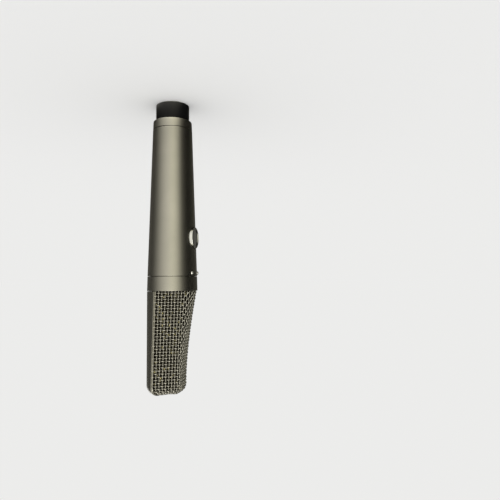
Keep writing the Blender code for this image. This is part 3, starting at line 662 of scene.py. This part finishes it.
def make_body_shell():
    corners = [
        (SHELL_HIGH_RADIUS, SHELL_TOP),
        (SHELL_LOW_RADIUS, SHELL_BOTTOM),
        (SHELL_LOW_RADIUS - SHELL_WALL, SHELL_BOTTOM),
        (SHELL_HIGH_RADIUS - SHELL_WALL, SHELL_TOP),
    ]
    shell = turned("body_shell_fine", rounded(corners, RING_EDGE), steps=256)
    badge_middle = (badge_low + badge_high) / 2
    badge_radius = (badge_high.x - badge_low.x) / 2
    pocket_floor = -badge_high.y - GAP
    outline = circle_outline(badge_radius + GAP)
    cut(shell, seat_cutter("badge_pocket", FRONT, badge_middle.z, outline, shell_radius, pocket_floor))
    seat = circle_outline(SCREW_SEAT, sides=40)
    for number in (1, 2):
        angle, height = case_screw_place(number)
        floor = shell_radius(height) - SCREW_SEAT_DEPTH
        cut(shell, seat_cutter("screw_seat", angle, height, seat, shell_radius, floor))
        cut(shell, screw_hole(angle, height, HEAD_RADIUS + 4 * MM))
    true_wall_normals(shell, shell_radius)
    finished(shell, "satin_gunmetal", "body_shell")


def case_screw_place(number):
    """Angle from the front and height of a case screw."""
    low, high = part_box(f"case_screw_{number}")
    middle = (low + high) / 2
    return math.atan2(middle.x, -middle.y), middle.z


def screw_hole(angle, height, end):
    """A cutter for the hole under a case screw, from inside the tube out to a distance from the axis."""
    centre, out = UP * height, front_direction(angle)
    return rod("screw_hole", SCREW_HOLE, centre + out * SCREW_HOLE_START, centre + out * end)


def recess_cutter(turn):
    """One bar of a screw's cross recess, wider at its mouth."""
    spin = Matrix.Rotation(math.radians(turn), 3, "Z")
    signs = ((1, 1), (-1, 1), (-1, -1), (1, -1))
    half_x, half_y = RECESS_HALF_LENGTH, RECESS_HALF_WIDTH
    corners = [spin @ Vector((sx * half_x, sy * half_y, 0.0)) for sx, sy in signs]
    floor = [point * 0.6 + UP * SCREW_DOME * 0.4 for point in corners]
    mouth = [point + UP * SCREW_DOME * 1.2 for point in corners]
    return lofted("recess", [floor, mouth])


def make_case_screws():
    """Dome heads with a cross recess, on plain shanks. Their slot is chrome, their looks are steel."""
    outline = []
    for angle in spread(0.0, math.pi / 2, 14):
        outline.append((SCREW_HEAD * math.sin(angle), SCREW_DOME * (0.1 + 0.9 * math.cos(angle))))
    outline += [(SCREW_HEAD, 0.0), (SCREW_SHANK, 0.0)]
    outline += [(SCREW_SHANK, -SCREW_LENGTH), (0.0, -SCREW_LENGTH)]
    for number in (1, 2):
        angle, height = case_screw_place(number)
        screw = turned(f"case_screw_{number}_fine", outline, steps=64, closed=False)
        for turn in (45.0, 135.0):
            cut(screw, recess_cutter(turn))
        smooth_shading(screw.data)
        out = front_direction(angle)
        underside = UP * height + out * (shell_radius(height) - 0.05 * MM)
        aim = out.to_track_quat("Z", "Y").to_matrix().to_4x4()
        screw.data.transform(Matrix.Translation(underside) @ aim)
        finished(screw, "chrome", f"case_screw_{number}")
        screw.data.materials[0] = FINISHES["polished_steel"]


def make_badge():
    """A plain chrome medallion: a raised rim, a thin inner ring and a shallow dome."""
    radius = (badge_high.x - badge_low.x) / 2
    depth = badge_high.y - badge_low.y
    face = depth - BADGE_RIM_HEIGHT
    inner = BADGE_INNER_RING
    corners = [
        (0.0, face + 0.2 * MM),
        (inner - 0.5 * MM, face + 0.08 * MM),
        (inner - 0.3 * MM, face - 0.06 * MM),
        (inner - 0.1 * MM, face + 0.14 * MM),
        (inner + 0.2 * MM, face + 0.14 * MM),
        (inner + 0.4 * MM, face - 0.06 * MM),
        (radius - BADGE_RIM_WIDTH - EDGE, face - 0.06 * MM),
        (radius - BADGE_RIM_WIDTH, depth),
        (radius, depth),
        (radius, 0.0),
        (0.0, 0.0),
    ]
    fillets = [0.0] + [0.12 * MM] * 7 + [0.3 * MM, 0.1 * MM, 0.0]
    badge = turned("badge_fine", rounded(corners, fillets), steps=128)
    even_normals(badge)
    toward_front = Matrix.Rotation(math.pi / 2, 4, "X")
    place = Matrix.Translation((0.0, badge_high.y, (badge_low.z + badge_high.z) / 2))
    badge.data.transform(place @ toward_front)
    finished(badge, "chrome", "badge")


def make_head_ring():
    ring_bottom = SHELL_TOP + GAP
    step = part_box("head_bulkhead")[0].z - GAP
    corners = [
        (HEAD_RING_BORE, ring_high.z),
        (HEAD_RADIUS, ring_high.z),
        (SHELL_HIGH_RADIUS + 0.02 * MM, ring_bottom),
        (HEAD_SPIGOT_OUTER, ring_bottom),
        (HEAD_SPIGOT_OUTER, ring_low.z),
        (HEAD_SPIGOT_INNER, ring_low.z),
        (HEAD_SPIGOT_INNER, step),
        (HEAD_RING_BORE, step),
    ]
    fillets = [RING_EDGE, EDGE, *[RING_EDGE] * 6]
    ring = turned("head_ring_fine", rounded(corners, fillets), steps=256)
    for number in (1, 2):
        angle, height = case_screw_place(number)
        cut(ring, screw_hole(angle, height, HEAD_SPIGOT_OUTER + 2 * MM))
    true_wall_normals(ring, lambda height: HEAD_RADIUS)
    finished(ring, "satin_gunmetal", "head_ring")


# The head


class HeadSection:
    """Outline of the head at one height: flat nose, corner arc, flat side wall and round spine."""

    def __init__(self, height, inset=0.0):
        share = min(max((height - HEAD_BOTTOM) / (HEAD_TOP - HEAD_BOTTOM), 0.0), 1.0)
        slope = (1.0 - min(share / NOSE_SLOPE_END, 1.0)) ** NOSE_SLOPE_POWER
        nose = mix(NOSE_TIP, NOSE_BASE, slope)
        self.facing = math.radians(mix(*WALL_FACING, share))
        edge = math.radians(mix(*SPINE_EDGE, share))
        wall = HEAD_RADIUS * math.cos(edge - self.facing)
        widest = (wall - nose * math.cos(self.facing)) / (1.0 - math.cos(self.facing))
        corner = mix(widest, CORNER_TIP, share**0.8)
        self.corner = corner - inset
        self.nose = nose - inset
        self.radius = HEAD_RADIUS - inset
        self.edge = self.facing + math.acos((wall - inset) / self.radius)
        behind = (nose - corner) * math.cos(self.facing)
        self.flat = (wall - corner - behind) / math.sin(self.facing)
        self.pivot = Vector((self.flat, corner - nose, 0.0))
        self.wall_start = self.pivot + front_direction(self.facing) * self.corner
        self.wall_end = front_direction(self.edge) * self.radius
        self.arc = self.corner * self.facing
        wall_length = (self.wall_end - self.wall_start).length
        # The outer grille stops short of the spine. A sheet inside it reaches behind the spine's edge.
        margin = 0.0 if inset else 2 * GAP
        self.length = self.flat + self.arc + wall_length - margin

    def grille_point(self, along):
        """A point at a distance from the middle of the front, towards the spine."""
        if along < self.flat:
            return Vector((along, -self.nose, 0.0))
        along -= self.flat
        if along < self.arc:
            return self.pivot + front_direction(along / self.corner) * self.corner
        return self.wall_start + (self.wall_end - self.wall_start).normalized() * (along - self.arc)

    def spine_point(self, share):
        """A point from the edge of the spine (0) to the middle of the back (1)."""
        return front_direction(mix(self.edge, math.pi, share)) * self.radius


WALL_HEIGHT = HEAD_TOP - HEAD_ROLL - HEAD_BOTTOM
ROLL_LENGTH = HEAD_ROLL * math.pi / 2


def head_point(kind, place, level, inset=0.0):
    """A point of the head's skin. level is 0 to 1 up the wall, 2 at the end of the roll, 3 at the hub.

    place is what HeadSection's spine_point takes, or for the grille a function of the section.
    """
    roll = HEAD_ROLL - inset
    turn = math.pi / 2 * min(max(level - 1.0, 0.0), 1.0)
    height = mix(HEAD_BOTTOM, HEAD_TOP - inset - roll, min(level, 1.0)) + roll * math.sin(turn)
    section = HeadSection(height, inset)
    point = section.grille_point(place(section)) if kind == "grille" else section.spine_point(place)
    point += (HUB - point).normalized() * roll * (1.0 - math.cos(turn))
    inward = max(level - 2.0, 0.0)
    point = point.lerp(HUB, inward)
    point.z = height + CROWN * inward * (2.0 - inward)
    return point


def grille_share_point(share, level, inset=0.0):
    """A point of the grille's skin at a share of the way from the middle of the front to the spine."""
    return head_point("grille", lambda section: section.length * share, level, inset)


def sheet_piece(name, rows, thickness, mirror=True, offset=-1.0):
    """An open sheet of quads from rows of points, mirrored on x = 0 and made thick towards the inside.

    Its flat coordinates are the distances along the rows and up the first column, in metres.
    """
    work = bmesh.new()
    uv = work.loops.layers.uv.new("flat")
    grid = [[work.verts.new(point) for point in row] for row in rows]
    flat = {}
    up = 0.0
    for number, row in enumerate(rows):
        up += (row[0] - rows[number - 1][0]).length if number else 0.0
        across = 0.0
        for column, point in enumerate(row):
            across += (point - row[column - 1]).length if column else 0.0
            flat[grid[number][column]] = (across, up)
    for low, high in zip(grid, grid[1:]):
        for corners in zip(low, low[1:], high[1:], high):
            face = work.faces.new(corners)
            for loop in face.loops:
                loop[uv].uv = flat[loop.vert]
    obj = link_work(name, work)
    obj.data.shade_smooth()
    if mirror:
        halves = obj.modifiers.new("Halves", "MIRROR")
        halves.merge_threshold = 0.001 * MM
    wall = obj.modifiers.new("Wall", "SOLIDIFY")
    wall.thickness = thickness
    wall.offset = offset
    return obj


def make_head_frame():
    """The spine: it stands on the ring, rolls over at the tip, and has a window in its back."""
    levels = spread(0.0, 1.0, 60) + spread(1.0, 2.0, 14)[1:] + [SPINE_LIP_LEVEL]
    rows = []
    for level in levels:
        row = [head_point("spine", share, level) for share in spread(0.0, 1.0, 44)]
        row[-1].x = 0.0
        rows.append(row)
    spine = sheet_piece("head_frame_fine", rows, FRAME_WALL)
    edges = spine.modifiers.new("Edges", "BEVEL")
    edges.width = EDGE
    edges.segments = 4
    edges.limit_method = "ANGLE"
    edges.angle_limit = math.radians(50)
    bake(spine)
    middle = (WINDOW_BOTTOM + WINDOW_TOP) / 2
    outline = slot_outline(WINDOW_HALF_WIDTH, WINDOW_TOP - middle, WINDOW_CORNER)
    floor = HEAD_RADIUS - 2 * FRAME_WALL
    cut(spine, seat_cutter("rear_window", BACK, middle, outline, lambda height: HEAD_RADIUS, floor))
    true_wall_normals(spine, lambda height: HEAD_RADIUS)
    finished(spine, "satin_gunmetal", "head_frame")


class Wires:
    """Round wires, collected into one mesh."""

    SIDES = 8

    def __init__(self):
        self.verts, self.faces = [], []

    def add(self, path, radius=WIRE_RADIUS):
        """A wire along a path, with a small dome at each end."""
        tangents = [(b - a).normalized() for a, b in zip(path, path[1:])]
        tangents = [tangents[0], *tangents]
        side = tangents[0].orthogonal().normalized()
        rings = []
        for point, tangent in zip(path, tangents):
            side = (side - tangent * side.dot(tangent)).normalized()
            rings.append((point, side, tangent.cross(side), 1.0))
        first, last = rings[0], rings[-1]
        cap = radius * 0.45
        rings.insert(0, (first[0] - tangents[0] * cap, first[1], first[2], 0.6))
        rings.append((last[0] + tangents[-1] * cap, last[1], last[2], 0.6))
        start = len(self.verts)
        for point, across, over, size in rings:
            for step in range(self.SIDES):
                angle = 2 * math.pi * step / self.SIDES
                spoke = across * math.cos(angle) + over * math.sin(angle)
                self.verts.append(point + spoke * radius * size)
        for ring in range(len(rings) - 1):
            low = start + ring * self.SIDES
            high = low + self.SIDES
            for step in range(self.SIDES):
                after = (step + 1) % self.SIDES
                self.faces.append((low + step, low + after, high + after, high + step))
        self.faces.append(tuple(start + step for step in reversed(range(self.SIDES))))
        end = start + (len(rings) - 1) * self.SIDES
        self.faces.append(tuple(end + step for step in range(self.SIDES)))

    def piece(self, name):
        mesh = bpy.data.meshes.new(name)
        mesh.from_pydata(self.verts, [], self.faces)
        mesh.shade_smooth()
        return link(name, mesh)


def weave(wires, surface, columns, rows, column_span, row_span, steps=6):
    """Plain weave on a surface. surface(column, row) gives a point of the middle sheet and its normal.

    Columns and rows are counted in pitches, and a wire passes over one crossing and under the next.
    """
    for upright, numbers, span in ((True, columns, row_span), (False, rows, column_span)):
        low, high = span
        height = WIRE_RADIUS if upright else -WIRE_RADIUS
        for number in numbers:
            path = []
            for place in spread(low, high, max(round((high - low) * steps), 2)):
                point, out = surface(number, place) if upright else surface(place, number)
                path.append(point + out * height * math.cos(math.pi * (place + number)))
            wires.add(path)


BASE_LENGTH = HeadSection(HEAD_BOTTOM).length
COLUMN_PITCH = (BASE_LENGTH - EDGE_WIRE) / COLUMNS_PER_SIDE


def grille_along(column, section):
    """Distance from the middle of the front of a column of the weave.

    The columns keep their distance from the spine, and close up at the nose where the head narrows.
    """
    from_spine = EDGE_WIRE + (COLUMNS_PER_SIDE - column) * COLUMN_PITCH
    narrowed = BASE_LENGTH - section.length
    closing = narrowed * (max(from_spine, 0.0) / BASE_LENGTH) ** 3
    return section.length - (from_spine - closing)


def grille_surface(column, row):
    """The middle sheet of the front grille, WEAVE_INSET under its outer surface."""
    side = -1.0 if column < 0 else 1.0

    def outside(c, r):
        climb = r * WIRE_PITCH
        past_wall = (climb - WALL_HEIGHT) / ROLL_LENGTH
        level = climb / WALL_HEIGHT if past_wall < 0.0 else 1.0 + past_wall
        return head_point("grille", lambda section: grille_along(c, section), level)

    nudge = 0.02
    column = abs(column)
    here = outside(column, row)
    above = max(row, nudge)
    up = outside(column, above) - outside(column, above - nudge)
    across = outside(column + nudge, row) - here
    out = across.cross(up).normalized()
    point = here - out * WEAVE_INSET
    return Vector((side * point.x, point.y, point.z)), Vector((side * out.x, out.y, out.z))


def make_front_grille():
    """Heavy wires woven round the front and rolled over at the tip, and a flat weave on the top."""
    wires = Wires()
    top = (WALL_HEIGHT + ROLL_LENGTH) / WIRE_PITCH - FIRST_ROW

    def surface(column, row):
        return grille_surface(column, row + FIRST_ROW)

    inner = range(1 - COLUMNS_PER_SIDE, COLUMNS_PER_SIDE)
    reach = COLUMNS_PER_SIDE + OVERHANG
    weave(wires, surface, inner, range(int(top) + 1), (-reach, reach), (-FIRST_ROW, top))
    for side in (-COLUMNS_PER_SIDE, COLUMNS_PER_SIDE):
        edge_wire = [surface(side, row) for row in spread(-FIRST_ROW, top, 200)]
        wires.add([point + out * WIRE_RADIUS for point, out in edge_wire])
    add_top_weave(wires)
    finished(wires.piece("front_grille_fine"), "woven_wire", "front_grille")


def top_outline():
    """Polar outline of the top about the hub: (angle, distance) pairs, angles growing."""
    pairs = []
    points = [grille_share_point(share, 2.0) for share in spread(0.0, 1.0, 40)]
    points += [head_point("spine", share, TOP_WEAVE_LEVEL) for share in spread(0.0, 1.0, 30)]
    for point in points:
        offset = point - HUB
        pairs.append((math.atan2(offset.x, -offset.y), math.hypot(offset.x, offset.y)))
    return sorted(pairs)


def add_top_weave(wires):
    pairs = top_outline()

    def fullness(x, y):
        """0 at the hub, 1 on the outline of the top."""
        offset = Vector((x, y - HUB.y))
        angle = abs(math.atan2(offset.x, -offset.y))
        for (low, near), (high, far) in zip(pairs, pairs[1:]):
            if low <= angle <= high:
                share = (angle - low) / max(high - low, 1e-9)
                return offset.length / mix(near, far, share)
        return offset.length / pairs[-1 if angle > pairs[0][0] else 0][1]

    pitch = WIRE_PITCH
    steps = 6
    count = math.ceil(HEAD_RADIUS / pitch)
    for swap in (False, True):
        for number in range(-count, count + 1):
            path = []
            for step in range(-count * steps, count * steps + 1):
                along = step / steps * pitch
                x, y = (along, HUB.y + number * pitch) if swap else (number * pitch, HUB.y + along)
                full = fullness(x, y)
                if full > 1.0:
                    continue
                phase = math.cos(math.pi * (step / steps + number)) * (-1.0 if swap else 1.0)
                height = HEAD_TOP - WEAVE_INSET + CROWN * (1.0 - full * full)
                path.append(Vector((x, y, height + WIRE_RADIUS * phase)))
            if len(path) > 2:
                wires.add(path)


def make_rear_grille():
    """The same weave behind the window in the spine."""
    low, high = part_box("rear_grille")
    radius = HEAD_RADIUS - FRAME_WALL - GAP - WEAVE_INSET
    columns = REAR_COLUMNS_PER_SIDE
    rows = round((high.z - low.z) / WIRE_PITCH)
    reach = columns + 0.3
    pitch = math.radians(REAR_HALF_ANGLE) / reach

    def surface(column, row):
        out = front_direction(math.pi + column * pitch)
        return out * radius + UP * (low.z + (row + 0.5) * WIRE_PITCH), out

    wires = Wires()
    upright = range(-columns, columns + 1)
    weave(wires, surface, upright, range(rows), (-reach, reach), (-0.5, rows - 0.5))
    finished(wires.piece("rear_grille_fine"), "woven_wire", "rear_grille")


def make_screens():
    """The fine meshes that line the two grilles."""
    rows = []
    for level in spread(0.0, 1.0, 30) + spread(1.0, 2.0, 8)[1:]:
        row = [grille_share_point(share, level, SCREEN_INSET) for share in spread(0.0, 1.0, 40)]
        row[0].x = 0.0
        rows.append(row)
    front = sheet_piece("front_screen_fine", rows, SCREEN_WALL)
    finished(front, "brass_screen", "front_screen")

    low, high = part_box("rear_screen")
    radius = node_radii("rear_screen", low.z)[1]
    reach = math.asin(high.x / radius)
    arc = [front_direction(angle) * radius for angle in spread(math.pi - reach, math.pi + reach, 24)]
    rows = [[point + UP * height for point in arc] for height in spread(low.z, high.z, 30)]
    rear = sheet_piece("rear_screen_fine", rows, SCREEN_WALL, mirror=False)
    finished(rear, "brass_screen", "rear_screen")


# The connector


def make_connector():
    """A moulded insert with a raised face and a keyway, and three pins with round tips."""
    low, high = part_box("xlr_insert")
    radius = high.x
    lip = low.z + 0.7 * MM
    neck = low.z - 3 * MM
    keyway, keyway_radius, keyway_end = radius - 0.6 * MM, 1.2 * MM, low.z + 1.6 * MM
    corners = [
        (0.0, low.z),
        (radius - 1.4 * MM, low.z),
        (radius - 1.6 * MM, lip),
        (radius, lip),
        (radius, high.z),
        (0.0, high.z),
    ]
    fillets = [0.0, 0.25 * MM, 0.15 * MM, 0.25 * MM, 0.2 * MM, 0.0]
    insert = turned("xlr_insert_fine", rounded(corners, fillets), steps=96)
    for number in (1, 2, 3):
        pin_low, pin_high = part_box(f"xlr_pin_{number}")
        middle = (pin_low + pin_high) / 2
        pin_radius = (pin_high.x - pin_low.x) / 2
        foot = Vector((middle.x, middle.y, 0.0))
        hole_start, hole_end = foot + UP * (low.z - MM), foot + UP * (high.z + MM)
        cut(insert, rod("pin_hole", pin_radius + GAP, hole_start, hole_end))
        nose = []
        for angle in spread(0.0, math.pi / 2, 12):
            rise = pin_radius * (1.0 - math.cos(angle))
            nose.append((pin_radius * math.sin(angle), pin_low.z + rise))
        outline = [*nose, (pin_radius, neck), (pin_radius, pin_high.z), (0.0, pin_high.z)]
        pin = turned(f"xlr_pin_{number}_fine", outline, steps=48, closed=False)
        smooth_shading(pin.data, 40)
        pin.data.transform(Matrix.Translation(foot))
        finished(pin, "gold_plate", f"xlr_pin_{number}")
    cut(insert, rod("keyway", keyway_radius, (0.0, keyway, low.z - MM), (0.0, keyway, keyway_end)))
    smooth_shading(insert.data)
    finished(insert, "insulator", "xlr_insert")


# The ribbon


def make_ribbon():
    """Corrugated foil in two halves, flat where each is held at its clamp and corrugated towards the
    middle.
    """
    low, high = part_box("ribbon")
    middle = (low + high) / 2
    half_width = high.x
    pitch, depth, flat = 1.5 * MM, 0.22 * MM, 6.0 * MM
    thickness = 0.08 * MM
    for name, end in (("lower", low.z), ("upper", high.z)):
        rows = []
        for height in spread(end, middle.z, 260):
            from_end = abs(height - end)
            grown = min(max((from_end - flat) / flat, 0.0), 1.0)
            y = middle.y + depth * grown * math.sin(2 * math.pi * (height - middle.z) / pitch)
            rows.append([Vector((x, y, height)) for x in spread(-half_width, half_width, 4)])
        piece = sheet_piece(f"ribbon_{name}_half", rows, thickness, mirror=False, offset=0.0)
        bake(piece)
        piece.data.materials.clear()
        piece.data.materials.append(FINISHES["foil"])
        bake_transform(piece)
        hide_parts("ribbon")


# Floor, light and camera


def tone_around(tree, place):
    """The brightness that metal mirrors from a place, or from a direction, round the microphone."""
    nodes, links = tree.nodes, tree.links
    unit, split = nodes.new("ShaderNodeVectorMath"), nodes.new("ShaderNodeSeparateXYZ")
    unit.operation = "NORMALIZE"
    links.new(place, unit.inputs[0])
    links.new(unit.outputs["Vector"], split.inputs["Vector"])
    forward = math_node(tree, "MULTIPLY", split.outputs["Y"], -1.0)
    azimuth = math_node(tree, "ARCTAN2", split.outputs["X"], forward)
    ramp = nodes.new("ShaderNodeValToRGB")
    links.new(math_node(tree, "MULTIPLY_ADD", azimuth, 0.5 / math.pi, 0.5), ramp.inputs["Fac"])
    stops = ramp.color_ramp.elements
    while len(stops) < len(TONES):
        stops.new(1.0)
    for stop, (angle, tone) in zip(stops, TONES):
        stop.position = 0.5 + angle / 360.0
        tint = WARM if abs(angle) < 90 else COOLER
        stop.color = (*[tone * part for part in tint], 1.0)
    strength = 1.0
    for sign, power, change in (
        (1.0, SPREAD_POWER, LIFT),
        (-1.0, SPREAD_POWER, -DIP),
        (-1.0, GLOW_POWER, GLOW_BELOW),
    ):
        toward = math_node(tree, "MULTIPLY", split.outputs["Z"], sign)
        share = math_node(tree, "POWER", math_node(tree, "MAXIMUM", toward, 0.0), power)
        strength = math_node(tree, "MULTIPLY_ADD", share, change, strength)
    brighter = nodes.new("ShaderNodeVectorMath")
    brighter.operation = "SCALE"
    links.new(ramp.outputs["Color"], brighter.inputs[0])
    links.new(strength, brighter.inputs["Scale"])
    return brighter.outputs["Vector"]


def add_floor():
    """A wide pale floor. The metal sees the tones of its surroundings in it instead."""
    mesh = bpy.data.meshes.new("floor")
    half = FLOOR_HALF
    corners = [(-half, -half, 0.0), (half, -half, 0.0), (half, half, 0.0), (-half, half, 0.0)]
    mesh.from_pydata(corners, [], [(0, 1, 2, 3)])
    floor = link("floor", mesh)
    material = bpy.data.materials.new("floor")
    material.use_nodes = True
    material.cycles.emission_sampling = "NONE"
    nodes, links = material.node_tree.nodes, material.node_tree.links
    nodes.remove(nodes["Principled BSDF"])
    pale, glow = nodes.new("ShaderNodeBsdfDiffuse"), nodes.new("ShaderNodeEmission")
    pale.inputs["Color"].default_value = (*PALE, 1.0)
    place = nodes.new("ShaderNodeVectorMath")
    links.new(nodes.new("ShaderNodeTexCoord").outputs["Object"], place.inputs[0])
    place.inputs[1].default_value = -UP * HEAD_TOP / 2
    links.new(tone_around(material.node_tree, place.outputs["Vector"]), glow.inputs["Color"])
    ray, either = nodes.new("ShaderNodeLightPath"), nodes.new("ShaderNodeMixShader")
    links.new(ray.outputs["Is Glossy Ray"], either.inputs["Fac"])
    links.new(pale.outputs["BSDF"], either.inputs[1])
    links.new(glow.outputs["Emission"], either.inputs[2])
    links.new(either.outputs["Shader"], nodes["Material Output"].inputs["Surface"])
    mesh.materials.append(material)


def add_world():
    """An even white sky, as pale as the floor to the eye, with the tones where metal mirrors it."""
    world = bpy.data.worlds.new("studio")
    world.use_nodes = True
    world.cycles.sampling_method = "NONE"
    tree = world.node_tree
    nodes, links = tree.nodes, tree.links
    ray = nodes.new("ShaderNodeLightPath")
    mirrored = tone_around(tree, nodes.new("ShaderNodeTexCoord").outputs["Generated"])
    colour = (1.0, 1.0, 1.0)
    for kind, seen in (("Is Camera Ray", PALE), ("Is Glossy Ray", mirrored)):
        colour = mix_node(tree, ray.outputs[kind], colour, seen)
    links.new(colour, nodes["Background"].inputs["Color"])
    bpy.context.scene.world = world


def add_light(name, azimuth, height, distance, strength, colour, size=0.7):
    """A soft square panel, aimed at the middle of the microphone. It doesn't light the floor."""
    data = bpy.data.lights.new(name, "AREA")
    data.size = size
    data.energy = strength * size * size
    data.color = colour
    panel = bpy.data.objects.new(name, data)
    middle = UP * HEAD_TOP / 2
    panel.location = front_direction(math.radians(azimuth)) * distance + UP * height
    panel.rotation_euler = (middle - panel.location).to_track_quat("-Z", "Y").to_euler()
    panel.visible_camera = False
    panel.light_linking.receiver_collection = bpy.data.collections["lit"]
    bpy.context.scene.collection.objects.link(panel)


def add_lights():
    lit = bpy.data.collections.new("lit")
    for obj in bpy.data.objects:
        if obj.type == "MESH" and obj.name != "floor":
            lit.objects.link(obj)
    warm, white = (1.0, 0.98, 0.92), (1.0, 1.0, 1.0)
    add_light("key", CAMERA_AZIMUTH + 5, height=0.9, distance=0.9, strength=8.0, colour=warm)
    add_light("back", CAMERA_AZIMUTH + 165, height=0.8, distance=1.0, strength=4.0, colour=white)


def add_camera():
    """A camera held upside down, so that the microphone hangs head down, left of the middle."""
    data = bpy.data.cameras.new("camera")
    data.sensor_width = 36.0
    data.lens = CAMERA_LENS
    data.clip_start = 0.01
    camera = bpy.data.objects.new("camera", data)
    toward_camera = front_direction(math.radians(CAMERA_AZIMUTH))
    camera.location = toward_camera * CAMERA_DISTANCE + UP * CAMERA_HEIGHT
    level = (-toward_camera).to_track_quat("-Z", "Y").to_matrix().to_4x4()
    turn = Matrix.Rotation(math.radians(CAMERA_TURN), 4, "Y")
    tilt = Matrix.Rotation(math.radians(-CAMERA_TILT), 4, "X")
    roll = Matrix.Rotation(math.radians(CAMERA_ROLL), 4, "Z")
    camera.rotation_euler = (level @ turn @ tilt @ roll).to_euler()
    bpy.context.scene.collection.objects.link(camera)
    bpy.context.scene.camera = camera


add_camera()
make_finishes()
finish_frame()
make_collar()
make_base_ring()
make_body_shell()
make_case_screws()
make_badge()
make_head_ring()
make_head_frame()
make_front_grille()
make_rear_grille()
make_screens()
make_connector()
make_ribbon()
add_floor()
add_world()
add_lights()
bpy.context.scene.view_settings.view_transform = "Standard"
